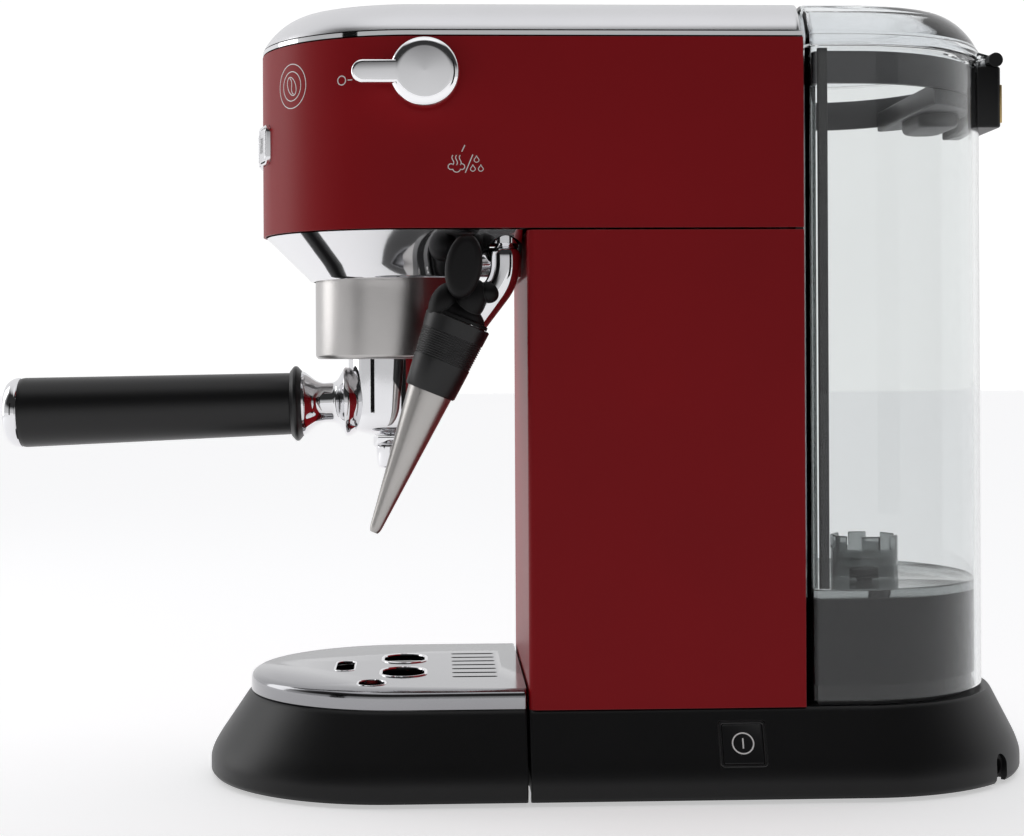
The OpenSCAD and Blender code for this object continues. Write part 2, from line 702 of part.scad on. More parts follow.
module spout() {
    z = ring_z - pf_body_h;
    color([0.8, 0.8, 0.82]) translate([group_x, 0, 0]) difference() {
        union() {
            translate([0, 0, z - 3]) cylinder(r = 6.5, h = 3);
            translate([-5.4, -9, z - 10]) cube([10.8, 18, 8]);
            for (side = [-1, 1]) translate([0, side * 9, z - 12]) cylinder(r1 = 4.6, r2 = 5.4, h = 10);
        }
        for (side = [-1, 1]) translate([0, side * 9, z - 13]) cylinder(r = 3, h = 9);
        translate([0, 0, z - 7]) cylinder(r = 3, h = 8);
        translate([0, -9, z - 7]) rotate([-90, 0, 0]) cylinder(r = 2, h = 18);
    }
}

// The wand's own frame: origin at the sleeve's top, +Z down along the wand.
module wand_line() {
    translate([pivot[0] + sleeve_top[0], pivot[1], skirt_z + sleeve_top[1]]) rotate([0, 180 + wand_angle, 0]) children();
}

function wand_point(s) = [pivot[0] + sleeve_top[0] - s * sin(wand_angle), pivot[1],
    skirt_z + sleeve_top[1] - s * cos(wand_angle)];

function pipe_end() = [pivot[0] + sleeve_top[0] * 0.62, pivot[1], skirt_z + sleeve_top[1] + 1.4];

module steam_pipe() {
    color([0.82, 0.82, 0.84]) {
        rod([[pivot[0], pivot[1], head_z - 8], [pivot[0], pivot[1], elbow_z], pipe_end()], pipe_r);
        translate([pivot[0], pivot[1], head_z - 8]) {
            cylinder(r1 = pipe_r, r2 = neck_r, h = 1.5);
            cylinder(r = neck_r, h = 14);
        }
    }
}

// The rubber grip: a hub round the pipe's end and a thumb paddle that stands up beside it.
module wand_grip() {
    paddle = pivot[1] - 11.5;
    elbow = [pivot[0], pivot[1], elbow_z];
    color([0.05, 0.05, 0.05]) difference() {
        union() {
            wand_line() translate([0, 0, -8]) cylinder(r1 = 8.5, r2 = 11.5, h = 6.4);
            wand_line() translate([0, 0, -1.6]) cylinder(r = 11.5, h = 1.3);
            hull() {
                translate([pivot[0] - 15.8, paddle + 3, skirt_z + 8.5]) rotate([90, 0, 0]) cylinder(r = 6.6, h = 6, $fn = 40);
                translate([pivot[0] - 17.2, paddle + 3, skirt_z + 1]) rotate([90, 0, 0]) cylinder(r = 6.8, h = 6, $fn = 40);
                translate([pivot[0] - 18.5, paddle + 5, skirt_z - 10]) rotate([90, 0, 0]) cylinder(r = 5, h = 7, $fn = 40);
            }
        }
        rod([[pivot[0], pivot[1], head_z], elbow, pipe_end() + 0.55 * (pipe_end() - elbow)], pipe_r + 0.06);
    }
}

module wand_core() {
    color([0.05, 0.05, 0.05]) wand_line() difference() {
        translate([0, 0, 2.2]) cylinder(r = core_r, h = sleeve_len + 4);
        translate([0, 0, 30]) cylinder(r = 1.2, h = 10);
    }
}

module steam_nozzle() {
    color([0.6, 0.58, 0.56]) wand_line() translate([0, 0, sleeve_len]) difference() {
        cylinder(r1 = nozzle_r, r2 = nozzle_tip_r, h = nozzle_len);
        translate([0, 0, -1]) cylinder(r = core_r + 0.05, h = 7.7);
        translate([0, 0, 4]) cylinder(r = 1.1, h = nozzle_len);
    }
}

module frother_sleeve() {
    taper = sleeve_r - sleeve_end_r;
    groove = function (s) sleeve_r - taper * s / sleeve_len;
    color([0.05, 0.05, 0.05]) wand_line() difference() {
        cylinder(r1 = sleeve_r, r2 = sleeve_end_r, h = sleeve_len);
        for (s = [6 : 1 : 16]) translate([0, 0, s]) difference() {
            cylinder(r = sleeve_r + 1, h = 0.5);
            translate([0, 0, -1]) cylinder(r = groove(s) - 0.35, h = 3);
        }
        translate([0, 0, -1]) cylinder(r = core_r + 0.1, h = sleeve_len + 2);
        translate([0, 0, sleeve_len - 7]) cylinder(r = nozzle_r + 0.3, h = 8);
    }
}

// Drip tray: a basin with a skirt that hides the tongue.
module drip_tray() {
    color([0.06, 0.06, 0.065]) difference() {
        intersection() {
            base_form(0, foot_h, base_h);
            translate([-300, -100, 0]) cube([300 + tray_rear, 200, 100]);
        }
        intersection() {
            base_form(base_wall, foot_h + 11, base_h + 0.02);
            translate([-300, -100, 0]) cube([300 + tray_rear - base_wall, 200, 100]);
        }
        intersection() {
            base_band(base_wall, foot_h - 1, foot_h + 8.3);
            translate([-300, -100, 0]) cube([301 + tray_rear, 200, 100]);
        }
    }
}

float_at = [nose_top_x - 12, -43];
float_r = 4.8;
module cup_plate() {
    r = top_r - 0.3;
    centre = nose_top_x;
    z = base_h + clear;
    top = base_h + plate_h;
    color([0.82, 0.82, 0.84]) difference() {
        d_sweep(centre, tray_rear, [[0, top - 1.2], [r - 3.6, top - 1.2], [r - 1.4, top - 3], [r - 1.2, z], [r, z],
            [r - 0.1, top - 2.4], [r - 0.8, top - 0.9], [r - 2.4, top], [0, top]]);
        for (side = [-1, 1]) translate([nose_top_x, side * 17.8, top - 5]) pad(18, 25, 10, 8.9);
        translate([nose_top_x - 24, 0, top - 5]) pad(8, 26, 10, 3.9);
        translate([float_at[0], float_at[1], top - 5]) pad(2 * float_r + 1.2, 2 * float_r + 5, 10, float_r + 0.5);
        for (i = [-3 : 3]) translate([column_x - 20, i * 10, top - 5]) pad(18, 2.6, 10, 1.2);
    }
}

module tray_float() {
    floor_z = foot_h + 11;
    color([0.7, 0.05, 0.05]) translate([float_at[0], float_at[1], floor_z + clear]) {
        cylinder(r = 7, h = 7);
        cylinder(r = float_r, h = base_h + plate_h - floor_z - 3);
    }
}

// Clear tank: a D-shaped vessel whose lower skirt drops over the pedestal.
module water_tank() {
    color([0.75, 0.8, 0.8, 0.4]) difference() {
        translate([0, 0, tank_z]) linear_extrude(tank_top - tank_z) d_plan(tank_x, tank_front, tank_r);
        translate([0, 0, tank_floor_z]) linear_extrude(height) d_plan(tank_x, tank_front + tank_wall, tank_r - tank_wall);
        translate([0, 0, tank_z - 1]) linear_extrude(tank_floor_z - 3 - tank_z + 1) d_plan(tank_x, tank_front + tank_wall, tank_r - tank_wall);
        translate([cup[0], cup[1], tank_floor_z - 5]) cylinder(r = 4.3, h = 10);
    }
    color([0.75, 0.8, 0.8, 0.4]) translate([cup[0], cup[1], 0]) difference() {
        translate([0, 0, seat_top - 5]) cylinder(r = 5, h = tank_floor_z - 3 - seat_top + 5.5);
        translate([0, 0, seat_top - 6]) cylinder(r = 4.3, h = 20);
    }
}

// The dark frame round the tank's mouth, with the bridge that the tank is carried by.
module tank_collar() {
    outer = tank_r - tank_wall - 0.1;
    inner = outer - 2.4;
    front = tank_front + tank_wall + 0.1;
    color([0.2, 0.2, 0.22]) {
        translate([0, 0, tank_top - collar_h]) linear_extrude(collar_h) difference() {
            d_plan(tank_x, front, outer);
            d_plan(tank_x, front + 2.4, inner);
        }
        translate([tank_x + 34, 0, tank_top - collar_h - 7]) intersection() {
            translate([-34, 0, 0]) cylinder(r = inner + 0.5, h = 16);
            translate([0, -inner, 0]) cube([14, 2 * inner, 9]);
        }
    }
}

// The crown-shaped cup over the valve.
module filter_cup() {
    tall = 16.6;
    color([0.3, 0.33, 0.33, 0.6]) translate([cup[0], cup[1], tank_floor_z]) difference() {
        cylinder(r = cup_r, h = tall);
        translate([0, 0, tall - 9]) cylinder(r = cup_r - 1.6, h = 10);
        translate([0, 0, -1]) cylinder(r = cup_r - 1.6, h = tall - 9);
        translate([0, 0, -1]) cylinder(r = 4, h = 20);
        for (a = [0 : 60 : 120]) rotate([0, 0, a]) translate([-20, -3.4, tall - 5.5]) cube([40, 6.8, 8]);
    }
}

module hinge_block() {
    half = 24;
    color([0.07, 0.07, 0.075]) difference() {
        union() {
            translate([hinge[0] - 12, -half, tank_top - 27]) cube([14.4, 2 * half, hinge[1] - tank_top + 24.5]);
            translate([hinge[0], -half, hinge[1]]) rotate([-90, 0, 0]) cylinder(r = knuckle_r, h = 2 * half);
        }
        translate([tank_x, 0, 0]) cylinder(r = tank_r + 0.02, h = tank_top + 0.02);
        for (side = [-1, 1]) translate([hinge[0] - 8, side * 13.5 - 4 - clear, hinge[1] - 3.6]) cube([14, 8 + 2 * clear, 12]);
        translate([hinge[0], -half - 1, hinge[1]]) rotate([-90, 0, 0]) cylinder(r = pin_r, h = 2 * half + 2);
    }
}

module hinge_pin() {
    color([0.6, 0.6, 0.6]) translate([hinge[0], -23.5, hinge[1]]) rotate([-90, 0, 0]) cylinder(r = pin_r, h = 47);
}

module tank_valve() {
    color([0.8, 0.8, 0.8]) translate([cup[0], cup[1], 0]) {
        translate([0, 0, tank_floor_z + clear]) cylinder(r = 6, h = 2);
        translate([0, 0, seat_top - 2]) cylinder(r = 3.2, h = tank_floor_z - seat_top + 3);
    }
}

module tank_lid() {
    tall = height - lid_z;
    slope = cover_slope;
    r = tank_r;
    outer = concat([[r, lid_z]], cover_edge(r, lid_z + 4, tall - 4, slope));
    color([0.3, 0.32, 0.34, 0.6]) {
        difference() {
            union() {
                d_sweep(tank_x, tank_front, concat([[0, height - 2.2], [r - slope - 1, height - 2.2], [r - 2.2, lid_z + 4],
                    [r - 2.2, lid_z]], outer, [[0, height]]));
                translate([tank_front, -r + 3, lid_z + 1]) cube([2.2, 2 * r - 6, tall - 4]);
            }
            translate([hinge[0] - 8, -24 - clear, lid_z - 5]) cube([20, 48 + 2 * clear, 7.9]);
        }
        for (side = [-1, 1]) translate([0, side * 13.5, 0]) difference() {
            union() {
                translate([hinge[0], -4, hinge[1]]) rotate([-90, 0, 0]) cylinder(r = knuckle_r - 0.2, h = 8);
                translate([hinge[0] - 7, -4, hinge[1]]) cube([7, 8, 5]);
            }
            translate([hinge[0], -5, hinge[1]]) rotate([-90, 0, 0]) cylinder(r = pin_r + 0.06, h = 10);
        }
    }
}

module body_screws() {
    color([0.5, 0.5, 0.5]) for (p = [[tail_x + 10, 50], [tail_x + 10, -50], [column_x + 20, 50], [column_x + 20, -50]])
        translate([p[0], p[1], foot_h - 0.7]) difference() {
            cylinder(r = 3.5, h = 1.2);
            for (a = [0, 90]) rotate([0, 0, a]) translate([-2.5, -0.4, -1]) cube([5, 0.8, 1.7]);
        }
}

base_housing();
base_plate();
rubber_feet();
cord_gland();
switch_bezel();
column_shell();
head_shell();
top_trim();
top_cover();
warmer_plate();
head_skirt();
inner_frame();
rear_panel();
tank_seat();
inlet_socket();
group_head();
group_gasket();
shower_screen();
screen_screw();
thermoblock();
pump_body();
pump_mounts();
pump_piston();
pump_spring();
control_board();
steam_valve();
inlet_hose();
pressure_hose();
steam_line();
button_bezels();
wand_bush();
body_screws();
steam_knob();
valve_spindle();
power_button();
nose_button(button_angles[0]);  // button_one_cup
nose_button(button_angles[1]);  // button_two_cups
nose_button(button_angles[2]);  // button_steam
portafilter_ring();
portafilter_body();
filter_basket();
handle_collar();
handle_grip();
handle_cap();
spout();
steam_pipe();
wand_grip();
wand_core();
steam_nozzle();
frother_sleeve();
drip_tray();
cup_plate();
tray_float();
water_tank();
tank_collar();
filter_cup();
hinge_block();
tank_valve();
tank_lid();
hinge_pin();
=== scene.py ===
"""A slim espresso machine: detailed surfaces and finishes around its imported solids.

Shapes are worked out in millimetres in the row frame and put into meshes in metres. +Z is up, -X is the
front, where the cup stands, and -Y is the side with the steam knob and the steam wand.
"""

import math

import bmesh
import bpy
import numpy as np
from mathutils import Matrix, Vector


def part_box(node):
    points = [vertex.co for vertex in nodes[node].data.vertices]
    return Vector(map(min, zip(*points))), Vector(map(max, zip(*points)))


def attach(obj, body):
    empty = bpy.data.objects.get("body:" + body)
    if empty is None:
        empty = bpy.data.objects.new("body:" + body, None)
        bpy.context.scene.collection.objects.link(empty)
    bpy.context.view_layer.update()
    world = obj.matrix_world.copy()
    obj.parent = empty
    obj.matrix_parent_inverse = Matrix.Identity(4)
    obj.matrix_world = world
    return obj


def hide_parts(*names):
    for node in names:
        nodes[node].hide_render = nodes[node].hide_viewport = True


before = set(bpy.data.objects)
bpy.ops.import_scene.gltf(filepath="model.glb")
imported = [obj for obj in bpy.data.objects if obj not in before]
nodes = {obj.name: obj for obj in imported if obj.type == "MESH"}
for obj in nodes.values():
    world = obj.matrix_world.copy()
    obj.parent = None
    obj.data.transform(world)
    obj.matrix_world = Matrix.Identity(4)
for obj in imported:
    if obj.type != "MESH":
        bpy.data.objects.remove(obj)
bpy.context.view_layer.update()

MM = 0.001
X, Y, Z = np.eye(3)
UPRIGHT = np.zeros(3), Z, X, Y              # a place: an origin, an axis, a side and the third direction


# ---- shapes

def box_mm(node):
    """A CAD node's lowest and highest corners, in millimetres."""
    low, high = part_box(node)
    return np.array(low) / MM, np.array(high) / MM


def soften(rows, radius, steps=4):
    """Rounds each inner corner of a line with a quadratic curve that starts and ends up to `radius` from the
    corner, measured over the last two columns, and no more than 0.45 of the way to the next corner."""
    rows = np.asarray(rows, float)
    before, corner, after = rows[:-2], rows[1:-1], rows[2:]
    radius = np.broadcast_to(np.asarray(radius, float).reshape(-1, 1), (len(corner), 1))

    def toward(other):
        far = np.linalg.norm((other - corner)[:, -2:], axis=1, keepdims=True)
        return corner + (other - corner) * np.minimum(radius / np.maximum(far, 1e-9), 0.45)

    start, end = toward(before), toward(after)
    t = np.linspace(0, 1, steps + 1)[:, None, None]
    curve = (1 - t) ** 2 * start + 2 * t * (1 - t) * corner + t**2 * end
    return np.vstack([rows[:1], curve.transpose(1, 0, 2).reshape(-1, rows.shape[1]), rows[-1:]])


def upright(x, y=0.0, z=0.0):
    """The place of an upright axis through a point."""
    return np.array([x, y, z]), Z, X, Y


def crosswise(x, y, z):
    """The place of an axis along Y through a point."""
    return np.array([x, y, z]), Y, X, Z


def capped(rows, radius, steps=4):
    """A softened profile with a point on the axis at each end, so that it turns into a solid."""
    rows = soften(rows, radius, steps)
    return np.vstack([[0, rows[0][1]], rows, [0, rows[-1][1]]])


def enclosed(verts, faces):
    """Six times the volume inside a closed mesh: the sum of a . (b x c) over its triangles."""
    total = 0.0
    sizes = np.array([len(f) for f in faces])
    for size in np.unique(sizes):
        ring = np.array([f for f in faces if len(f) == size])
        for k in range(1, size - 1):
            a, b, c = verts[ring[:, 0]], verts[ring[:, k]], verts[ring[:, k + 1]]
            total += np.einsum("ij,ij->", a, np.cross(b, c))
    return total


def skin(points, loop=False, ends=True):
    """A closed skin over a (rows, columns, 3) grid whose rows close on themselves. loop joins the last row to
    the first, and ends closes the first and last rows with flat faces. The faces point outwards."""
    points = np.asarray(points, float)
    rows, cols = points.shape[:2]
    i = np.arange(rows if loop else rows - 1)[:, None]
    j = np.arange(cols)[None]
    at = lambda r, c: (r % rows) * cols + c % cols
    quads = np.stack([at(i, j), at(i, j + 1), at(i + 1, j + 1), at(i + 1, j)], -1).reshape(-1, 4).tolist()
    if ends and not loop:
        quads += [list(range(cols))[::-1], list(range((rows - 1) * cols, rows * cols))]
    verts = points.reshape(-1, 3)
    if enclosed(verts, quads) < 0:
        quads = [f[::-1] for f in quads]
    return verts, quads


def frame_along(origin, axis, side):
    """Origin and three unit vectors: the axis, the given side made square to it, and the third."""
    a = np.asarray(axis, float) / np.linalg.norm(axis)
    s = np.asarray(side, float) - np.dot(side, a) * a
    s /= np.linalg.norm(s)
    return np.asarray(origin, float), a, s, np.cross(a, s)


def turned(profile, place=UPRIGHT, sides=72):
    """A turned solid: each profile point (radius, distance) goes round the axis, origin + distance * axis
    + radius * (cos u * side + sin u * third). A profile that starts or ends on the axis gets a flat end,
    and one that doesn't is a ring, closed on itself."""
    profile = np.asarray(profile, float)
    solid = profile[0, 0] == 0
    if solid:
        profile = profile[profile[:, 0] > 0]
    origin, axis, side, third = place
    u = np.linspace(0, 2 * np.pi, sides, endpoint=False)
    round_ = np.cos(u)[:, None] * side + np.sin(u)[:, None] * third
    points = origin + profile[:, None, 1:] * axis + profile[:, None, :1] * round_
    return skin(points, loop=not solid, ends=solid)


def rod(radius, low, high, place, sides):
    """A plain cylinder from low to high along a place's axis."""
    return turned([(0, low), (radius, low), (radius, high), (0, high)], place, sides)


def piped(points, radii, sides=32):
    """A pipe along a line of points. Each ring is square to the way the line runs there, and its side vector
    is the -Y direction made square to it, so a pipe that stays in one upright plane never twists."""
    points = np.asarray(points, float)
    way = np.gradient(points, axis=0)
    way /= np.linalg.norm(way, axis=1, keepdims=True)
    side = np.broadcast_to(Y, way.shape) - (way @ Y)[:, None] * way
    side = side / np.linalg.norm(side, axis=1, keepdims=True)
    third = np.cross(way, side)
    u = np.linspace(0, 2 * np.pi, sides, endpoint=False)[None, :, None]
    radii = np.broadcast_to(np.asarray(radii, float), (len(points),))[:, None, None]
    return skin(points[:, None] + radii * (np.cos(u) * side[:, None] + np.sin(u) * third[:, None]))


def bent(corners, radius, steps=12):
    """Points along a line of corners, each rounded by a quadratic curve between points `radius` away."""
    corners = np.asarray(corners, float)
    out = [corners[:1]]
    for a, b, c in zip(corners[:-2], corners[1:-1], corners[2:]):
        p = b + (a - b) / np.linalg.norm(a - b) * radius
        q = b + (c - b) / np.linalg.norm(c - b) * radius
        t = np.linspace(0, 1, steps)[:, None]
        out.append((1 - t) ** 2 * p + 2 * t * (1 - t) * b + t**2 * q)
    return np.vstack(out + [corners[-1:]])


def arc(centre, radius, start, stop, count):
    """Points of a circle in the plane, at evenly spaced angles in degrees."""
    a = np.radians(np.linspace(start, stop, count))
    return np.stack([centre[0] + radius * np.cos(a), centre[1] + radius * np.sin(a)], -1)


def d_loop(centre, to, corner, radius, nose=56):
    """A D-shaped outline: a half circle round (centre, 0), straight sides to x = to and two round corners."""
    way = 1 if to > centre else -1
    length = abs(to - centre)
    corner = min(corner, radius * 0.9)
    loop = np.vstack([
        arc((0, 0), radius, 90, 270, nose),
        arc((length - corner, -radius + corner), corner, 270, 360, 7),
        arc((length - corner, radius - corner), corner, 0, 90, 7),
    ])
    return loop * (way, 1) + (centre, 0)


def d_level(centre, to, corner, radius, z, nose=56):
    """A D-shaped outline at a height."""
    loop = d_loop(centre, to, corner, radius, nose)
    return np.column_stack([loop, np.full(len(loop), z)])


def d_grid(rows, nose=56):
    """A grid of D-shaped outlines. Each row is (centre, to, corner, radius, z)."""
    return np.array([d_level(*row, nose) for row in rows])


def d_solid(rows, nose=56):
    """A solid whose level outlines are D shapes."""
    return skin(d_grid(rows, nose))


def d_wall(rows, nose=96):
    """A wall round an open middle, from D shapes that go round its section."""
    return skin(d_grid(rows, nose), loop=True)


def rounded_outline(width, height, corner, steps=6):
    """A rectangle with round corners, centred on the origin."""
    w, h = width / 2 - corner, height / 2 - corner
    return np.vstack([arc((x, y), corner, start, start + 90, steps)
                      for x, y, start in ((w, h, 0), (-w, h, 90), (-w, -h, 180), (w, -h, 270))])


def slab(outline, low, high, edge=0.4, place=UPRIGHT, steps=3):
    """A plate of any outline, from low to high along the axis, with round rims. Near each face the outline
    shrinks towards its middle by edge * (1 - cos t) while the height closes in by edge * (1 - sin t)."""
    outline = np.asarray(outline, float)
    middle = (outline.min(0) + outline.max(0)) / 2
    half = np.maximum((outline.max(0) - outline.min(0)) / 2, 1e-6)
    t = np.radians(np.linspace(0, 90, steps + 1))
    inset = edge * (1 - np.cos(np.concatenate([t[::-1], t])))
    height = np.concatenate([low + edge * (1 - np.sin(t[::-1])), high - edge * (1 - np.sin(t))])
    origin, axis, side, third = place
    grid = middle + (outline - middle) * (1 - inset[:, None, None] / half)
    return skin(origin + grid[..., :1] * side + grid[..., 1:] * third + height[:, None, None] * axis)


def hoop(outline, hole, low, high, edge=0.4, place=UPRIGHT):
    """A plate with a hole: two outlines with the same number of points, joined over both faces, with the
    corners of the section cut by `edge`."""
    outline, hole = np.asarray(outline, float), np.asarray(hole, float)
    across = hole - outline
    across = across / np.linalg.norm(across, axis=1, keepdims=True) * edge
    rings = [outline, outline, outline + across, hole - across, hole, hole, hole - across, outline + across]
    heights = [low + edge, high - edge, high, high, high - edge, low + edge, low, low]
    origin, axis, side, third = place
    grid = np.array(rings)
    return skin(origin + grid[..., :1] * side + grid[..., 1:] * third
                + np.array(heights)[:, None, None] * axis, loop=True)


def bead(outline, radius, place=UPRIGHT, sides=10):
    """A round bead that follows a closed outline: each ring spans the outline's own normal and the axis."""
    outline = np.asarray(outline, float)
    way = np.roll(outline, -1, 0) - np.roll(outline, 1, 0)
    normal = np.stack([way[:, 1], -way[:, 0]], -1) / np.linalg.norm(way, axis=1, keepdims=True)
    v = np.linspace(0, 2 * np.pi, sides, endpoint=False)
    grid = outline[:, None] + radius * np.cos(v)[None, :, None] * normal[:, None]
    origin, axis, side, third = place
    return skin(origin + grid[..., :1] * side + grid[..., 1:] * third
                + radius * np.sin(v)[None, :, None] * axis, loop=True)


def blob(centre, half, lean=0.0, sides=40):
    """An egg shape: a sphere stretched by three half lengths and leant about Y by an angle in degrees."""
    t = np.radians(np.linspace(2, 178, 24))
    verts, faces = turned(np.vstack([[0, -1], np.column_stack([np.sin(t), -np.cos(t)]), [0, 1]]), sides=sides)
    a = math.radians(lean)
    turn = np.array([[math.cos(a), 0, math.sin(a)], [0, 1, 0], [-math.sin(a), 0, math.cos(a)]])
    return (verts * half) @ turn.T + centre, faces


def block(low, high):
    """A box between two corners, for cutting."""
    low, high = np.minimum(low, high), np.maximum(low, high)
    outline = np.array([(low[0], low[1]), (high[0], low[1]), (high[0], high[1]), (low[0], high[1])], float)
    return skin(np.array([np.column_stack([outline, np.full(4, z)]) for z in (low[2], high[2])]))


def stroke(line, width, panel, closed=False, thick=0.05):
    """A printed line on a panel: a ribbon `width` wide along (u, v) points, mapped by panel(u, v, height)."""
    line = np.asarray(line, float)
    way = np.roll(line, -1, 0) - np.roll(line, 1, 0) if closed else np.gradient(line, axis=0)
    normal = np.stack([way[:, 1], -way[:, 0]], -1) / np.linalg.norm(way, axis=1, keepdims=True) * width / 2
    left, right = line - normal, line + normal
    uv = np.stack([left, right, right, left], 1)
    lift = np.broadcast_to(np.array([-0.1, -0.1, thick, thick]), uv.shape[:2])
    return skin(panel(uv[..., 0], uv[..., 1], lift), loop=closed)


def on_face(place, proud):
    """A panel for printed lines: a flat face that stands proud of a place, with v along the place's side and
    u along its third direction."""
    origin, out, up, right = place
    return lambda u, v, lift: (origin + u[..., None] * right + v[..., None] * up
                               + (lift + proud)[..., None] * out)


def curl(centre, radius, start=0, stop=360, count=40):
    """Points of a circle or an arc, for printed lines. A full circle leaves out its repeated last point."""
    if stop - start >= 360:
        return arc(centre, radius, start, stop, count + 1)[:-1]
    return arc(centre, radius, start, stop, count)


def wavy(u, low, high, sway, count):
    """A line that runs up from low to high and sways once: u + sway * sin(angle)."""
    return np.column_stack([u + sway * np.sin(np.linspace(0, 6.28, count)), np.linspace(low, high, count)])


# ---- pieces

def mesh_from(name, parts):
    """One mesh from several (points, faces) parts, from millimetres to metres."""
    verts, faces, count = [], [], 0
    for part_verts, part_faces in parts:
        verts.append(part_verts)
        faces += [[k + count for k in face] for face in part_faces]
        count += len(part_verts)
    mesh = bpy.data.meshes.new(name)
    mesh.from_pydata((np.vstack(verts) * MM).tolist(), [], faces)
    mesh.update()
    return mesh


def add_object(name, data):
    """A new object in the scene."""
    obj = bpy.data.objects.new(name, data)
    bpy.context.scene.collection.objects.link(obj)
    return obj


def closed_up(mesh):
    """Merges the points a cut leaves twice, fills the slivers it leaves open and turns the faces outwards."""
    merge_below, flat_below = 1.2e-5, 2e-6              # in metres
    mesh.validate()
    clean = bmesh.new()
    clean.from_mesh(mesh)
    bmesh.ops.remove_doubles(clean, verts=clean.verts, dist=merge_below)
    bmesh.ops.dissolve_degenerate(clean, edges=clean.edges, dist=flat_below)
    bmesh.ops.delete(clean, geom=[edge for edge in clean.edges if not edge.link_faces], context="EDGES")
    bmesh.ops.edgenet_fill(clean, edges=[edge for edge in clean.edges if edge.is_boundary])
    bmesh.ops.recalc_face_normals(clean, faces=clean.faces)
    clean.to_mesh(mesh)
    clean.free()


def carve(obj, cut):
    """Cuts solids out of an object's mesh."""
    knife = add_object(obj.name + "_cut", mesh_from(obj.name + "_cut", cut))
    less = obj.modifiers.new("carve", "BOOLEAN")
    less.operation, less.solver, less.object = "DIFFERENCE", "EXACT", knife
    less.use_self = True
    bpy.context.view_layer.update()
    obj.data = bpy.data.meshes.new_from_object(obj.evaluated_get(bpy.context.evaluated_depsgraph_get()))
    obj.modifiers.clear()
    bpy.data.objects.remove(knife)
    closed_up(obj.data)


def piece(name, parts, finish, body, stands_for=(), crease=34, cut=()):
    """Adds a piece of the object: its parts joined in one mesh, less the solids in cut, riding on a body.
    It is shaded smooth, but for edges that turn by more than the crease angle."""
    obj = add_object(name, mesh_from(name, parts))
    if cut:
        carve(obj, cut)
    obj.data.materials.clear()
    obj.data.materials.append(finish)
    obj.data.polygons.foreach_set("use_smooth", [True] * len(obj.data.polygons))
    obj.data.set_sharp_from_angle(angle=math.radians(crease))
    if stands_for:
        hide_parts(*stands_for)
    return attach(obj, body)


# ---- finishes

def group(name, inputs, outputs, build):
    """A shader node group: its sockets by name, and build(tree, given, put) to fill it."""
    tree = bpy.data.node_groups.new(name, "ShaderNodeTree")
    for label, kind, value in inputs:
        tree.interface.new_socket(label, in_out="INPUT", socket_type=kind).default_value = value
    for label, kind in outputs:
        tree.interface.new_socket(label, in_out="OUTPUT", socket_type=kind)
    given = tree.nodes.new("NodeGroupInput").outputs
    put = tree.nodes.new("NodeGroupOutput").inputs
    build(tree, given, put)
    return tree


def feed(tree, socket, value):
    """Gives an input socket a value, or joins it to another node's output."""
    if isinstance(value, bpy.types.NodeSocket):
        tree.links.new(value, socket)
    else:
        socket.default_value = value


def add(tree, kind, *wires, **settings):
    """Adds a shader node with its attributes set. The wires go to its first input sockets, and a setting
    whose name starts with 'in_' goes to the input socket of that name."""
    node = tree.nodes.new("ShaderNode" + kind)
    for key, value in settings.items():
        if not key.startswith("in_"):
            setattr(node, key, value)
    for socket, wire in zip(node.inputs, wires):
        feed(tree, socket, wire)
    for key, value in settings.items():
        if key.startswith("in_"):
            feed(tree, node.inputs[key[3:].replace("_", " ")], value)
    return node


def build_grain(tree, given, put):
    """Two sizes of noise on Object coordinates: fine and stretched for height, coarse for tone. Roughness is
    smudge * (coarse noise - 0.5) + the given roughness."""
    place = add(tree, "TexCoord").outputs["Object"]
    scaled = add(tree, "VectorMath", place, given["Stretch"], operation="MULTIPLY")
    fine = add(tree, "TexNoise", scaled.outputs[0], in_Scale=given["Scale"], in_Detail=3.0, in_Roughness=0.6)
    coarse = add(tree, "TexNoise", place, in_Scale=14.0, in_Detail=4.0)
    spread = add(tree, "Math", coarse.outputs["Fac"], 0.5, operation="SUBTRACT")
    amount = add(tree, "Math", spread.outputs[0], given["Smudge"], operation="MULTIPLY")
    rough = add(tree, "Math", amount.outputs[0], given["Roughness"], operation="ADD", use_clamp=True)
    feed(tree, put["Height"], fine.outputs["Fac"])
    feed(tree, put["Roughness"], rough.outputs[0])
    feed(tree, put["Tone"], coarse.outputs["Fac"])


grain = group(
    "surface_grain",
    [("Stretch", "NodeSocketVector", (1, 1, 1)), ("Scale", "NodeSocketFloat", 900.0),
     ("Roughness", "NodeSocketFloat", 0.4), ("Smudge", "NodeSocketFloat", 0.1)],
    [("Height", "NodeSocketFloat"), ("Roughness", "NodeSocketFloat"), ("Tone", "NodeSocketFloat")],
    build_grain)


def build_wear(tree, given, put):
    """A mask of the edges: how far a rounded normal leans from the surface's own, broken up by noise."""
    place = add(tree, "TexCoord").outputs["Object"]
    rounded = add(tree, "Bevel", in_Radius=given["Radius"], samples=4)
    own = add(tree, "NewGeometry")
    lean = add(tree, "VectorMath", rounded.outputs["Normal"], own.outputs["Normal"], operation="DOT_PRODUCT")
    edge = add(tree, "MapRange", lean.outputs["Value"], in_From_Min=0.995, in_From_Max=0.85)
    speckle = add(tree, "TexNoise", place, in_Scale=350.0, in_Detail=4.0)
    broken = add(tree, "Math", edge.outputs["Result"], speckle.outputs["Fac"], operation="MULTIPLY")
    amount = add(tree, "Math", broken.outputs[0], given["Amount"], operation="MULTIPLY", use_clamp=True)
    feed(tree, put["Mask"], amount.outputs[0])


edge_wear = group("edge_wear", [("Radius", "NodeSocketFloat", 0.0005), ("Amount", "NodeSocketFloat", 0.3)],
                  [("Mask", "NodeSocketFloat")], build_wear)


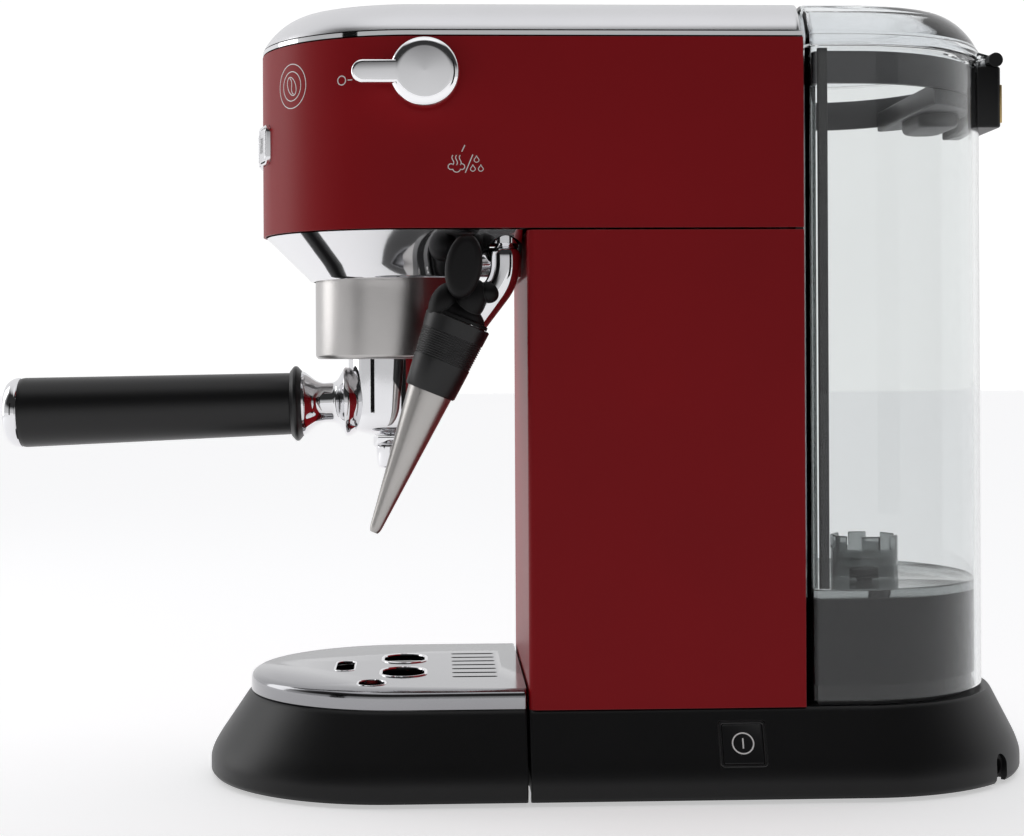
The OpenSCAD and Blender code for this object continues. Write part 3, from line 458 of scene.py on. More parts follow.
def finish(name, colour, rough, metal=0.0, stretch=(1, 1, 1), scale=900.0, smudge=0.08, bump=0.05, shade=0.12,
           specular=0.5, ior=1.5, clear=0.0, wear=0.0):
    """A material: a Principled surface whose tone, roughness and bump come from the grain group. shade is how
    far the coarse noise darkens and lightens the colour, bump how strong the fine grain is, and wear how much
    the edges are rubbed lighter."""
    made = bpy.data.materials.new(name)
    made.use_nodes = True
    tree = made.node_tree
    grains = add(tree, "Group", node_tree=grain, in_Stretch=stretch, in_Scale=scale, in_Roughness=rough,
                 in_Smudge=smudge)
    ramp = add(tree, "ValToRGB", grains.outputs["Tone"])
    darker, lighter = ramp.color_ramp.elements
    darker.position, darker.color = 0.3, (*[c * (1 - shade) for c in colour], 1)
    lighter.position, lighter.color = 0.7, (*[min(1, c * (1 + shade)) for c in colour], 1)
    tone = ramp.outputs["Color"]
    if wear:
        rubbed = add(tree, "Group", node_tree=edge_wear, in_Amount=wear)
        pale = (*[c * 0.6 + 0.16 for c in colour], 1)
        mixed = add(tree, "Mix", data_type="RGBA", in_Factor=rubbed.outputs["Mask"], in_A=tone, in_B=pale)
        tone = mixed.outputs["Result"]
    relief = add(tree, "Bump", in_Height=grains.outputs["Height"], in_Strength=bump, in_Distance=0.0002)
    surface = tree.nodes["Principled BSDF"].inputs
    for socket, value in (("Base Color", tone), ("Roughness", grains.outputs["Roughness"]),
                          ("Normal", relief.outputs["Normal"]), ("Metallic", metal),
                          ("Specular IOR Level", specular), ("IOR", ior), ("Transmission Weight", clear)):
        feed(tree, surface[socket], value)
    return made


red_enamel = finish("red_enamel", (0.33, 0.004, 0.009), 0.40, scale=1400, bump=0.12, shade=0.05, smudge=0.05,
                    specular=0.16, wear=0.5)
black_shell = finish("black_shell", (0.006, 0.006, 0.0065), 0.40, scale=2200, bump=0.25, specular=0.32,
                     wear=0.5)
black_inside = finish("black_inside", (0.02, 0.02, 0.022), 0.6, scale=1200, bump=0.2, shade=0.2)
black_grip = finish("black_grip", (0.008, 0.008, 0.0085), 0.36, scale=3000, bump=0.15, shade=0.1,
                    specular=0.4, wear=0.5)
black_rubber = finish("black_rubber", (0.007, 0.0065, 0.007), 0.5, scale=1800, bump=0.2, shade=0.15,
                      specular=0.2, wear=0.5)
# Chrome colour lowered so the portafilter bowl's reflection reads darker: painted shade on every part that
# uses it.
bright_chrome = finish("bright_chrome", (0.8, 0.8, 0.815), 0.05, metal=1.0, scale=60, bump=0.01, shade=0.02,
                       smudge=0.05)
# A lighter copy of the same chrome for the steam knob, so its face reads brighter: a painted highlight.
lit_knob_chrome = finish("lit_knob_chrome", (0.96, 0.96, 0.975), 0.1, metal=1.0, scale=80, bump=0.01, shade=0.02,
                     smudge=0.03)
plate_chrome = finish("plate_chrome", (0.33, 0.33, 0.342), 0.12, metal=1.0, scale=60, bump=0.01, shade=0.03,
                      smudge=0.05)
satin_chrome = finish("satin_chrome", (0.72, 0.72, 0.735), 0.24, metal=1.0, scale=2500, bump=0.05, shade=0.04)
brushed_ring = finish("brushed_ring", (0.5, 0.485, 0.475), 0.3, metal=1.0, stretch=(0.05, 0.05, 1.0),
                      scale=5200, bump=0.22, shade=0.08, smudge=0.12)
brushed_cone = finish("brushed_cone", (0.44, 0.425, 0.41), 0.3, metal=1.0, stretch=(0.05, 0.05, 1.0),
                      scale=5200, bump=0.2, shade=0.08, smudge=0.12)
brushed_plate = finish("brushed_plate", (0.62, 0.62, 0.63), 0.3, metal=1.0, stretch=(0.04, 1.0, 1.0),
                       scale=4200, bump=0.2, shade=0.06, smudge=0.1)
cast_alloy = finish("cast_alloy", (0.5, 0.5, 0.51), 0.5, metal=1.0, scale=700, bump=0.5, shade=0.15)
valve_brass = finish("valve_brass", (0.55, 0.4, 0.18), 0.35, metal=1.0, scale=900, bump=0.15)
board_green = finish("board_green", (0.02, 0.12, 0.05), 0.45, scale=400, bump=0.1, shade=0.3)
milky_hose = finish("milky_hose", (0.7, 0.7, 0.68), 0.4, scale=600, bump=0.1)
float_red = finish("float_red", (0.5, 0.015, 0.015), 0.3, scale=700, bump=0.1)
gloss_black = finish("gloss_black", (0.012, 0.012, 0.013), 0.28, scale=2000, bump=0.1, smudge=0.06, wear=0.5)
slate_plastic = finish("slate_plastic", (0.022, 0.022, 0.026), 0.4, scale=2600, shade=0.08, wear=0.5)
# Near-black for the sheet inside the tank's skirt: painted shade.
painted_shade_black = finish("painted_shade_black", (0.006, 0.006, 0.007), 0.45, scale=1400, shade=0.1, specular=0.15)
pale_ink = finish("pale_ink", (0.98, 0.95, 0.94), 0.5, scale=900, bump=0.05, shade=0.03)
tank_clear = finish("tank_clear", (0.85, 0.865, 0.865), 0.02, scale=30, bump=0.01, shade=0.01, smudge=0.02,
                    clear=1.0, ior=1.38, specular=0.25)
# Smoky dark clear tint for the valve cup and the tank's floor; on the strips at the tank's front corners it
# is painted shade.
smoke_and_shade_dark = finish("smoke_and_shade_dark", (0.3, 0.32, 0.32), 0.05, scale=30, bump=0.01, shade=0.02, smudge=0.02,
                    clear=1.0, ior=1.4)
smoky_clear = finish("smoky_clear", (0.80, 0.82, 0.835), 0.02, scale=30, bump=0.01, shade=0.02, smudge=0.02,
                     clear=1.0, ior=1.45)

cad_finish = {}
for look, covered in (
        (red_enamel, "column_shell head_shell"), (bright_chrome, "top_trim wand_bush"),
        (brushed_plate, "warmer_plate shower_screen screen_screw pump_piston pump_spring steam_line"
                        " body_screws filter_basket hinge_pin"),
        (cast_alloy, "group_head thermoblock"), (valve_brass, "steam_valve valve_spindle"),
        (board_green, "control_board"), (black_rubber, "group_gasket pump_mounts rubber_feet cord_gland"),
        (black_inside, "pump_body inner_frame inlet_socket base_plate"), (slate_plastic, "tank_valve"),
        (milky_hose, "inlet_hose pressure_hose"), (black_grip, "wand_core"), (float_red, "tray_float")):
    cad_finish.update(dict.fromkeys(covered.split(), look))
for node, obj in nodes.items():
    obj.data.materials.clear()
    obj.data.materials.append(cad_finish.get(node, black_shell))

# ---- main places

base_low, base_high = box_mm("base_housing")
tray_low, tray_high = box_mm("drip_tray")
column_low = box_mm("column_shell")[0]
head_low, head_high = box_mm("head_shell")
cover_low, cover_high = box_mm("top_cover")
skirt_low, skirt_high = box_mm("head_skirt")
plate_low, plate_high = box_mm("cup_plate")
ring_low, ring_high = box_mm("portafilter_ring")
tank_low, tank_high = box_mm("water_tank")
lid_top = box_mm("tank_lid")[1][2]

half = head_high[1]                         # half the width of the head and the column
foot_r, top_r = base_high[1], half - 0.5
base_z, base_top = base_low[2], base_high[2]
tail_x = base_high[0] - foot_r
nose_x = tray_low[0] + foot_r
nose_top_x = tray_low[0] + 16 + top_r
head_nose_x = head_low[0] + half
brew_x = (ring_low[0] + ring_high[0]) / 2
ring_r = (ring_high[0] - ring_low[0]) / 2
tank_r = tank_high[1]
tank_x = tank_high[0] - tank_r
pipe_at = np.array([column_low[0] - 8, -half + 10])


# ---- base, drip tray and cup plate

def base_side():
    """(radius, height) of the base's side: a small lip, an upright band and a long soft slope."""
    return soften([[foot_r - 1.0, base_z], [foot_r, base_z + 1.4], [foot_r, base_z + 9.5],
                   [top_r + 0.5, base_top - 0.9], [top_r - 0.4, base_top]], [0.8, 7.5, 0.9], steps=8)


def nose_centre(radius):
    """Where the round front's centre is for a radius: it moves back as the nose tapers in."""
    return nose_x + (nose_top_x - nose_x) * (foot_r - radius) / (foot_r - top_r)


slope = math.atan((foot_r - top_r) / (base_top - 11))
switch_at = np.array([column_low[0] + 80.6, 21.7])
side_out = np.array([0, -math.cos(slope), math.sin(slope)])
side_up = np.array([0, math.sin(slope), math.cos(slope)])
switch_place = (np.array([switch_at[0], -(foot_r - (switch_at[1] - 11) * math.tan(slope)), switch_at[1]]),
                side_out, X, side_up)

cord_turn = math.radians(-41)
cord_way = np.array([math.cos(cord_turn), math.sin(cord_turn), 0])
cord_side = np.cross(Z, cord_way)
arch = np.vstack([[(-4.5, -3)], arc((0, 8), 4.5, 180, 0, 16), [(4.5, -3)]])
arch_place = (np.array([tail_x, 0, 0]) + cord_way * (foot_r - 8), cord_way, cord_side, Z)

outer = base_side()
seam_x = tray_high[0]
base_side_rows = [(foot_r - 2.6, base_z + 3.2), (foot_r - 2.6, base_z), *outer]
base_rows = [(tail_x, base_low[0], 1.0, r, z) for r, z in base_side_rows]
piece("moulded_base", [d_solid(base_rows)], black_shell, "machine", ["base_housing"],
      crease=40, cut=[slab(rounded_outline(18.2, 18.2, 1.2), -9, 6, 0.01, switch_place),
                      slab(arch, 0, 14, 0.01, arch_place),
                      block((base_low[0] - 4, -48.8, -3), (base_low[0] + 60, 48.8, 9.6))])

basin = [(nose_centre(r), seam_x - 2.5, 3.0, r, z) for r, z in
         soften([[top_r - 2.4, base_top], [foot_r - 3.4, 15], [foot_r - 8, 12.6]], [3], steps=4)]
tray_rows = [(nose_centre(r), seam_x, 1.0, r, z) for r, z in outer] + basin
piece("tray_basin", [d_solid(tray_rows)], black_shell, "tray", ["drip_tray"], crease=40,
      cut=[d_solid([(nose_x, 12, 0.5, foot_r - 2.5, z) for z in (-1, 9.7)])])

openings = [rounded_outline(*size) + (nose_top_x + x, y)
            for size, x, y in (((18, 25, 8.9, 16), 0, -17.8), ((18, 25, 8.9, 16), 0, 17.8),
                               ((8, 26, 3.9, 10), -24, 0), ((10.8, 14.6, 5.3, 12), -12, -43))]
plate_r, plate_foot, plate_top = top_r - 0.3, plate_low[2], plate_high[2]
plate_side = soften([[plate_r - 4, plate_top - 1.3], [plate_r - 1.6, plate_foot + 4],
                     [plate_r - 1.3, plate_foot], [plate_r, plate_foot], [plate_r, plate_top - 1.4],
                     [plate_r - 2.6, plate_top]], [1, 0.3, 0.3, 2.2], steps=6)
slots = [rounded_outline(18, 2.6, 1.25, 6) + (column_low[0] - 20, 10 * k) for k in range(-3, 4)]
holes = [slab(outline, plate_top - 6, plate_top + 4, 0.01) for outline in openings + slots]
rims = [bead(outline, thick, upright(0, 0, plate_top - 0.2))
        for outline, thick in zip(openings, (0.75, 0.75, 0.5, 0.5))]
piece("cup_rest", [d_solid([(nose_top_x, seam_x, 1.2, r, z) for r, z in plate_side])], plate_chrome, "plate",
      ["cup_plate"], crease=40, cut=holes)
piece("cup_rest_rims", rims, bright_chrome, "plate")

# The power switch: a frame, a rocker that stands a little proud, and its mark.
rocker_top = 0.15
piece("switch_frame", [hoop(rounded_outline(18, 18, 1.6, 8), rounded_outline(15.8, 15.8, 0.9, 8), -7, 0.35,
                            0.25, switch_place)], gloss_black, "machine", ["switch_bezel"])
piece("power_rocker", [slab(rounded_outline(15.4, 15.4, 0.8, 8), -5, rocker_top, 0.3, switch_place)],
      gloss_black, "power", ["power_button"])
rocker_face = on_face((switch_place[0], side_out, side_up, X), rocker_top)
piece("power_mark", [stroke(curl((0, 0.2), 4.0), 0.55, rocker_face, closed=True),
                     stroke([(0, -1.8), (0, 2.2)], 0.55, rocker_face)], pale_ink, "power")

# ---- head: cover, funnel, prints and buttons

def domed(radius, inward, low, rise):
    """The side of a soft cap, (radius, height) for t from 0 to 1: the radius shrinks by inward * t ^ 1.25 and
    the height grows by rise * (0.45 sin(t * 90 degrees) + 0.55 t)."""
    t = np.linspace(0, 1, 14)
    return np.column_stack([radius - inward * t**1.25,
                            low + rise * (0.45 * np.sin(t * np.pi / 2) + 0.55 * t)])


cover_side = domed(half - 0.5, 12.5, cover_low[2], 11.7)
recess_r = half - 17
cover_top = cover_high[2]
cover_rows = np.vstack([[half - 4, cover_low[2]], cover_side,
                        soften([[recess_r + 0.9, cover_top], [recess_r, cover_top],
                                [recess_r - 0.5, cover_top - 1.5], [recess_r - 3, cover_top - 1.5]], 0.5)])
piece("top_cover_shell", [d_solid([(head_nose_x, cover_high[0], 2.5, r, z) for r, z in cover_rows])],
      satin_chrome, "machine", ["top_cover"], crease=50)


def funnel_row(t, inset=0.0):
    """A level outline of the funnel, from its foot (t = 0) to its top (t = 1): a D that grows evenly."""
    foot = head_nose_x - skirt_foot_x
    z = skirt_z + (skirt_high[2] - skirt_z) * t
    return d_level(head_nose_x, skirt_high[0] - inset, 3.0, foot + (half - 1.5 - foot) * t - inset, z)


def mouth(z):
    """The funnel's round mouth at a height, with its points in line with those of the foot."""
    foot = funnel_row(0.0)
    turn = np.arctan2(foot[:, 1], foot[:, 0] - brew_x)
    return np.column_stack([brew_x + (ring_r + 0.7) * np.cos(turn), (ring_r + 0.7) * np.sin(turn),
                            np.full(len(turn), z)])


skirt_foot_x, skirt_z = brew_x - ring_r - 1.6, skirt_low[2]
funnel = [funnel_row(t) for t in (1.0, 0.985, 0.9, 0.6, 0.3, 0.06)]
funnel += [funnel_row(0.02) - (0, 0, 0.2), funnel_row(0.0, 0.5), mouth(skirt_z), mouth(skirt_z + 0.9)]
funnel += [funnel_row(t, 1.4) + (0, 0, 0.5) for t in (0.03, 0.5, 0.97)]
piece("bright_funnel", [skin(np.array(funnel), loop=True)], bright_chrome, "machine",
      ["head_skirt"], crease=45, cut=[rod(6.4, skirt_z - 2, skirt_high[2] + 2, upright(*pipe_at), 40)])


def head_side(u, v, lift):
    """A point on the head's painted side: u runs along X, and goes on round the nose as arc length."""
    round_ = np.maximum(head_nose_x - u, 0) / half
    x = np.maximum(u, head_nose_x) - (half + lift) * np.sin(round_)
    return np.stack([x, -(half + lift) * np.cos(round_), v], -1)


def drop(u, v, size):
    """A drop's outline: a circle pulled up to a point, with its width times 1 - max(sin a, 0) ^ 1.5."""
    a = np.linspace(0, 2 * np.pi, 24, endpoint=False)
    lift = np.maximum(np.sin(a), 0)
    return np.column_stack([u + size * np.cos(a) * (1 - lift**1.5), v + size * np.sin(a) * (1 + 0.7 * lift)])


emblem = (head_nose_x - half * math.radians(50.4), 274.6)
prints = [stroke(curl(centre, radius, count=count), width, head_side, closed=True)
          for centre, radius, width, count in (((-67.9, 274.6), 1.7, 0.42, 40), (emblem, 8.6, 0.36, 64),
                                               (emblem, 5.7, 0.36, 56))]
prints += [stroke(line, width, head_side)
           for line, width in (([(-65.3, 274.6), (-63.4, 274.6)], 0.42),
                               ([(-19.9, 238.7), (-17.0, 245.6)], 0.4),
                               ([(-21.2, 246.7), (-20.0, 249.2)], 0.4))]
bean = curl((0, 0), 1.0) * (2.5, 3.9)
seam = np.column_stack([0.9 * np.sin(np.linspace(-2.6, 2.6, 20)), np.linspace(-3.4, 3.4, 20)])
leant = np.array([[math.cos(0.5), -math.sin(0.5)], [math.sin(0.5), math.cos(0.5)]]).T
prints += [stroke(bean @ leant + emblem, 0.36, head_side, closed=True),
           stroke(seam @ leant + emblem, 0.36, head_side)]
prints += [stroke(drop(u, v, 0.95), 0.3, head_side, closed=True)
           for u, v in ((-15.6, 243.6), (-17.0, 240.2), (-14.0, 240.2))]
prints += [stroke(curl(*puff), 0.36, head_side)
           for puff in (((-23.2, 240.4), 1.5, 190, 350, 16), ((-25.3, 241.0), 1.1, 60, 300, 14),
                        ((-21.2, 241.0), 1.1, -120, 120, 14))]
prints += [stroke(wavy(u, 241.6, 245.4, 0.35, 16), 0.34, head_side) for u in (-24.6, -23.2, -21.8)]
piece("panel_marks", prints, pale_ink, "machine")

button_z = (head_low[2] + head_high[2]) / 2 - 0.3
key_step = 15.5                             # degrees round the nose from one key to the next


def key_place(steps):
    """Where a key stands on the nose, so many steps round from the middle."""
    a = math.radians(key_step * steps)
    out = np.array([-math.cos(a), -math.sin(a), 0])
    return frame_along(np.array([head_nose_x, 0, button_z]) + half * out, out, Z)


key_marks = {-1: [(drop(0, -0.4, 1.5), True)], 0: [(drop(u, -0.4, 1.5), True) for u in (-2.2, 2.2)],
             1: [(wavy(u, -3, 3, 0.5, 18), False) for u in (-2, 0, 2)]}
key_size, key_top = 12.9, 1.65
for name, node, body, step in (("one_cup_key", "button_one_cup", "one_cup", -1),
                               ("two_cup_key", "button_two_cups", "two_cups", 0),
                               ("steam_key_cap", "button_steam", "steam_key", 1)):
    place = key_place(step)
    face = on_face(place, key_top)
    piece(name, [slab(rounded_outline(key_size, key_size, 2.0, 8), -5.5, key_top, 0.5, place)], satin_chrome,
          body, [node])
    piece(name + "_mark", [stroke(line, 0.45 if shut else 0.5, face, shut) for line, shut in key_marks[step]],
          slate_plastic, body)
frames = [hoop(rounded_outline(15.6, 15.6, 2.9, 8), rounded_outline(13.6, 13.6, 2.2, 8), -4, 1.35, 0.35,
               key_place(step)) for step in (-1, 0, 1)]
piece("key_frames", frames, bright_chrome, "machine", ["button_bezels"])

# The steam knob: a foot, a thick disc with a soft rim and a pointer arm with a round end.
knob_low, knob_high = box_mm("steam_knob")
knob_r = (knob_high[2] - knob_low[2]) / 2
knob_place = (np.array([knob_high[0] - knob_r, -half, (knob_low[2] + knob_high[2]) / 2]), -Y, X, Z)
knob_top = -half - knob_low[1]
disc = capped([[9, 3.6], [knob_r - 0.3, 3.6], [knob_r, 5], [knob_r, knob_top - 2],
               [knob_r - 2.1, knob_top - 0.35], [0.02, knob_top]], [0.4, 0.8, 1.6, 1.8], steps=6)
arm_end = knob_low[0] - knob_high[0] + knob_r + 4.4
arm = np.vstack([arc((arm_end, 0), 4.4, 90, 270, 24), [(0, -4.4), (0, 4.4)]])
piece("knob_disc", [turned(disc, knob_place, 96), rod(9.6, 0.3, 4.2, knob_place, 64)], lit_knob_chrome, "knob",
      ["steam_knob"], crease=40)
piece("knob_pointer", [slab(arm, knob_top - 7, knob_top - 0.5, 1.1, knob_place, steps=5)], lit_knob_chrome,
      "knob", crease=40)

# ---- portafilter

handle_drop = math.radians(1.6)             # how far the handle points down
handle_tip_x = -207.5
handle_tip = (brew_x - handle_tip_x) / math.cos(handle_drop)
ring_foot, ring_top = ring_low[2], ring_high[2]
cup_foot = ring_foot - 32
brew_place = upright(brew_x)
handle_way = (-math.cos(handle_drop), 0, -math.sin(handle_drop))
handle_place = frame_along((brew_x, 0, ring_foot - 17), handle_way, Y)

ring_wall = soften([[ring_r - 2, ring_top], [ring_r - 0.2, ring_top], [ring_r, ring_top - 0.5],
                    [ring_r, ring_foot + 1.2], [ring_r - 1.1, ring_foot], [13.1, ring_foot],
                    [13.1, ring_foot + 2], [ring_r - 2, ring_foot + 2]], [0.2, 0.2, 0.6, 0.6, 0.3, 0.3], 3)
lugs = [np.vstack([arc((0, 0), ring_r + 2.2, mid - 12.5, mid + 12.5, 9),
                   arc((0, 0), ring_r - 1, mid + 12.5, mid - 12.5, 9)]) for mid in (90, 270)]
piece("filter_holder_ring", [turned(ring_wall, brew_place, 128)] +
      [slab(lug, ring_top - 4, ring_top, 0.02, brew_place) for lug in lugs], brushed_ring, "portafilter",
      ["portafilter_ring"], crease=35)

bowl = capped([[4, cup_foot + 0.4], [9, cup_foot + 0.9], [15.6, cup_foot + 3.2], [17, cup_foot + 8],
               [17, ring_foot - 0.02]], [2, 4, 4], steps=6)
stem = capped([[11.5, 12.5], [14.0, 16.6], [14.2, 18.2], [9.2, 21.2], [8.1, 23.0], [8.1, 27.8], [9.2, 30.2],
               [12.9, 34.6], [13.1, 35.7]], [0.7, 0.6, 1.2, 0.6, 1.4, 1.4, 1.0], steps=5)
piece("filter_holder_bowl", [turned(bowl, brew_place, 96), turned(stem, handle_place, 80)], bright_chrome,
      "portafilter", ["portafilter_body"], crease=40)
collar = capped([[13.3, 35.8], [15.3, 37.5], [15.4, 38.7], [13.4, 40.4]], [0.6, 0.8], steps=5)
piece("grip_collar", [turned(collar, handle_place, 80)], black_grip, "portafilter",
      ["handle_collar"])
grip_end = handle_tip - 7.4
grip = capped([[12.3, 40], [12.6, 40.6], [14.15, grip_end - 1.2], [13.7, grip_end]], [0.5, 1.2], steps=5)
piece("grip_barrel", [turned(grip, handle_place, 96)], black_grip, "portafilter",
      ["handle_grip"], crease=50)
cap = capped([[13.9, grip_end], [14.3, grip_end + 0.6], [13.9, grip_end + 3.0], [11.8, handle_tip - 1.6],
              [6, handle_tip - 0.25], [0.02, handle_tip]], [0.4, 1.5, 3, 4], steps=6)
piece("grip_end_cap", [turned(cap, handle_place, 96)], bright_chrome, "portafilter",
      ["handle_cap"], crease=50)

outlet = soften([(3.1, -12), (4.3, -12), (4.9, -11.3), (5.5, -3.2), (4.8, -2.2), (3.1, -2.2), (3.1, -12)],
                0.5, 3)
legs = [turned(outlet[:-1], upright(brew_x, way * 9, cup_foot), 48) for way in (-1, 1)]
bridge = slab(rounded_outline(10.4, 20, 4.5, 10), cup_foot - 9, cup_foot - 2.2, 1.2, brew_place)
nut = turned([(0, -4), (6.4, -4), (6.9, -3.2), (6.9, 0.2), (0, 0.2)], upright(brew_x, 0, cup_foot), 8)
piece("twin_spout", legs + [bridge, nut], bright_chrome, "portafilter", ["spout"], crease=40)

# ---- steam wand

wand_lean, paddle_lean = math.radians(22), math.radians(9)
pipe_foot = np.array([*pipe_at, skirt_z])
wand_place = frame_along(pipe_foot + (-18.2, 0, -17), (-math.sin(wand_lean), 0, -math.cos(wand_lean)), Y)
elbow, end = pipe_foot + (0, 0, -0.8), pipe_foot + (-11.3, 0, -15.6)
run = bent([pipe_foot + (0, 0, 22), elbow, end + 0.5 * (end - elbow)], 6)
line = np.vstack([[(*pipe_at, z) for z in np.linspace(skirt_z + 22, elbow[2] + 6, 26)], run[2:]])
dome = np.clip((skirt_z + 11.4 - line[:, 2]) / 4.2, 0, 1)
pipe_r = 3.6 + 2.05 * np.sqrt(1 - (1 - dome) ** 2)
piece("steam_tube", [piped(line, pipe_r, 40)], bright_chrome, "wand", ["steam_pipe"],
      crease=60)

paddle_outline = curl((0, 0), 1.0, count=56) * (7.0, 12.4)
paddle_place = (pipe_foot + (-16.2, -10.4, 3.4), -Y,
                np.array([math.cos(paddle_lean), 0, -math.sin(paddle_lean)]),
                np.array([math.sin(paddle_lean), 0, math.cos(paddle_lean)]))
hub = capped([[7.5, -7], [10.2, -4], [10.6, -1.8], [11.6, -1.5], [11.6, -0.25]], [2, 0.6, 0.3])
piece("rubber_paddle", [slab(paddle_outline, -3.4, 4.2, 3.4, paddle_place, steps=7),
                        turned(hub, wand_place, 64),
                        blob(pipe_foot + (-24.0, -3.5, -10.2), (5.2, 6.4, 8.2), 24),
                        blob(pipe_foot + (-13.4, -4.0, -9.4), (6.1, 6.4, 8.6), 20),
                        blob(pipe_foot + (-6.8, -2.0, -6.6), (4.8, 6.6, 4.6), 20)],
      black_rubber, "wand", ["wand_grip"], crease=50)


def sleeve_radius(s):
    """The sleeve's radius at a distance down from its top: 12.9 at the top and 3.0 less after 29.5."""
    return 12.9 - 3.0 * s / 29.5


def sleeve_face(u, v, lift):
    """A point on the sleeve: u is arc length from its front-left side and v runs up the wand."""
    radius = sleeve_radius(-v) + lift
    a = u / 12.0 + math.radians(-112)
    origin, axis, side, third = wand_place
    return (origin - v[..., None] * axis
            + radius[..., None] * (np.sin(a)[..., None] * third - np.cos(a)[..., None] * side))


sleeve = [[9.5, 0.05], [12.5, 0.05], [12.9, 0.5]]
for s in np.arange(6.2, 16.2, 0.9):
    r = sleeve_radius(s)
    sleeve += [[r, s], [r - 0.3, s + 0.2], [r - 0.3, s + 0.5], [r, s + 0.7]]
sleeve += [[9.95, 28.8], [9.5, 29.45], [8.9, 29.45], [8.9, 24], [9.5, 0.06]]
piece("froth_sleeve", [turned(sleeve, wand_place, 96)], black_grip, "frother",
      ["frother_sleeve"], crease=30)
marks = [stroke([(0, v - 0.9 * way), (0, v + 0.01 * way), (0, v + 0.9 * way)], 1.5, sleeve_face)
         for v, way in ((-2.6, 1), (-18.4, -1))]
marks.append(stroke(curl((0, -15.4), 0.9), 0.3, sleeve_face, closed=True))
piece("froth_marks", marks, pale_ink, "frother")

cone = capped([[8.7, 25.4], [8.75, 29.6], [2.3, 86.0], [1.6, 87.4]], [0.3, 1.5])
piece("steam_cone", [turned(cone, wand_place, 72)], brushed_cone, "wand", ["steam_nozzle"],
      crease=40)

# ---- water tank

tank_front, tank_top, wall = tank_low[0], tank_high[2], 2.5
floor_z = 78.0
wall_foot = max(tank_low[2], 36.3)


def tank_level(inset, corner, z):
    """A level outline that follows the tank's wall at a distance inside: (centre, to, corner, radius, z)."""
    return tank_x, tank_front + inset, corner, tank_r - inset, z


tank_side = [tank_level(wall, 3.0, wall_foot)]
tank_side += [tank_level(0, 5.0, z) for z in (wall_foot, 40, 160, tank_top - 3, tank_top - 0.5)]
tank_side += [tank_level(0.4, 4.8, tank_top), tank_level(wall, 3.0, tank_top), tank_level(wall, 3.0, 160)]
piece("clear_tank_wall", [d_wall(tank_side)], tank_clear, "tank", ["water_tank"], crease=40)
floor_side = [tank_level(wall + 0.2 + inset, 2.8, z)
              for inset, z in ((0, floor_z - 3), (0, floor_z + 0.8), (1.6, floor_z))]
piece("tank_floor", [d_solid(floor_side, nose=96)], smoke_and_shade_dark, "tank", crease=40)

collar_r = tank_r - wall - 0.15
band_z = tank_top - 14.2
band = [(tank_x, tank_front + wall + 0.2 + inset, 2.6, collar_r - inset, band_z + up)
        for inset, up in ((0.3, 0), (0, 0.4), (0, 11.8), (0.3, 12.2), (2.1, 12.2), (2.4, 11.8), (2.4, 0.4),
                          (2.1, 0))]
band_rows = d_grid(band, 96)
band_rows[..., 2] -= 0.04 * (band_rows[..., 1] + collar_r)      # the frame hangs lower on its far side
rear_block = np.vstack([arc((tank_x, 0), collar_r - 1.5, -54, 54, 30), [(tank_x + 33, y) for y in (47, -47)]])
piece("tank_frame", [skin(band_rows, loop=True), slab(rear_block, band_z - 6.5, band_z + 2, 0.8),
                     slab(rounded_outline(17, 38, 7, 10) + (tank_x + 44, 0), band_z - 12, band_z - 5, 2.2)],
      slate_plastic, "tank", ["tank_collar"], crease=40)

inner_x, inner_y = tank_front + wall, tank_r - wall
# Dark upright strips inside the clear wall near its front corners: painted shade for the dark corner edges of
# the tank.
side_shade_strips = [slab(rounded_outline(3.9, 0.6, 0.25, 4) + (inner_x + 3.9, way * (inner_y - 0.35)), floor_z + 1,
                   tank_top - 1, 0.1) for way in (-1, 1)]
piece("tank_side_shade_strips", side_shade_strips, black_shell, "tank", crease=40)
corner_shade_strips = [slab(rounded_outline(1.6, 7, 0.6, 4) + (inner_x + 0.9, way * (inner_y - 5)), floor_z + 1,
                     band_z - 1, 0.2) for way in (-1, 1)]
piece("tank_corner_shade_strips", corner_shade_strips, smoke_and_shade_dark, "tank", crease=40)

# A black sheet just inside the clear wall below the tank's floor: painted shade that darkens the lower part
# of the tank.
skirt_shade_rows = [tank_level(wall + 0.2, 2.8, z) for z in (42, floor_z - 3.1)]
skirt_shade_rows += [tank_level(wall + 0.8, 2.2, z) for z in (floor_z - 3.1, 42)]
piece("tank_skirt_shade", [d_wall(skirt_shade_rows)], painted_shade_black, "tank", crease=40)

cup_low, cup_high = box_mm("filter_cup")
cup_r = (cup_high[0] - cup_low[0]) / 2
cup_place = upright((cup_low[0] + cup_high[0]) / 2, 0, floor_z)
crown = soften([[cup_r, 0.1], [cup_r, 16.2], [cup_r - 0.4, 16.6], [cup_r - 1.3, 16.6], [cup_r - 1.6, 16.2],
                [cup_r - 1.6, 0.1]], 0.3, 2)
teeth = [slab(rounded_outline(44, 6.6, 0.8, 4), 11, 19, 0.01,
              (cup_place[0], Z, *np.array([[math.cos(a), math.sin(a), 0], [-math.sin(a), math.cos(a), 0]])))
         for a in np.radians([0, 60, 120])]
web = [(4.2, 6.8), (cup_r - 1.7, 6.8), (cup_r - 1.7, 8), (4.2, 8)]
piece("valve_cup_crown", [turned(crown, cup_place, 72), turned(web, cup_place, 72)],
      smoke_and_shade_dark, "tank", ["filter_cup"], crease=40, cut=teeth)

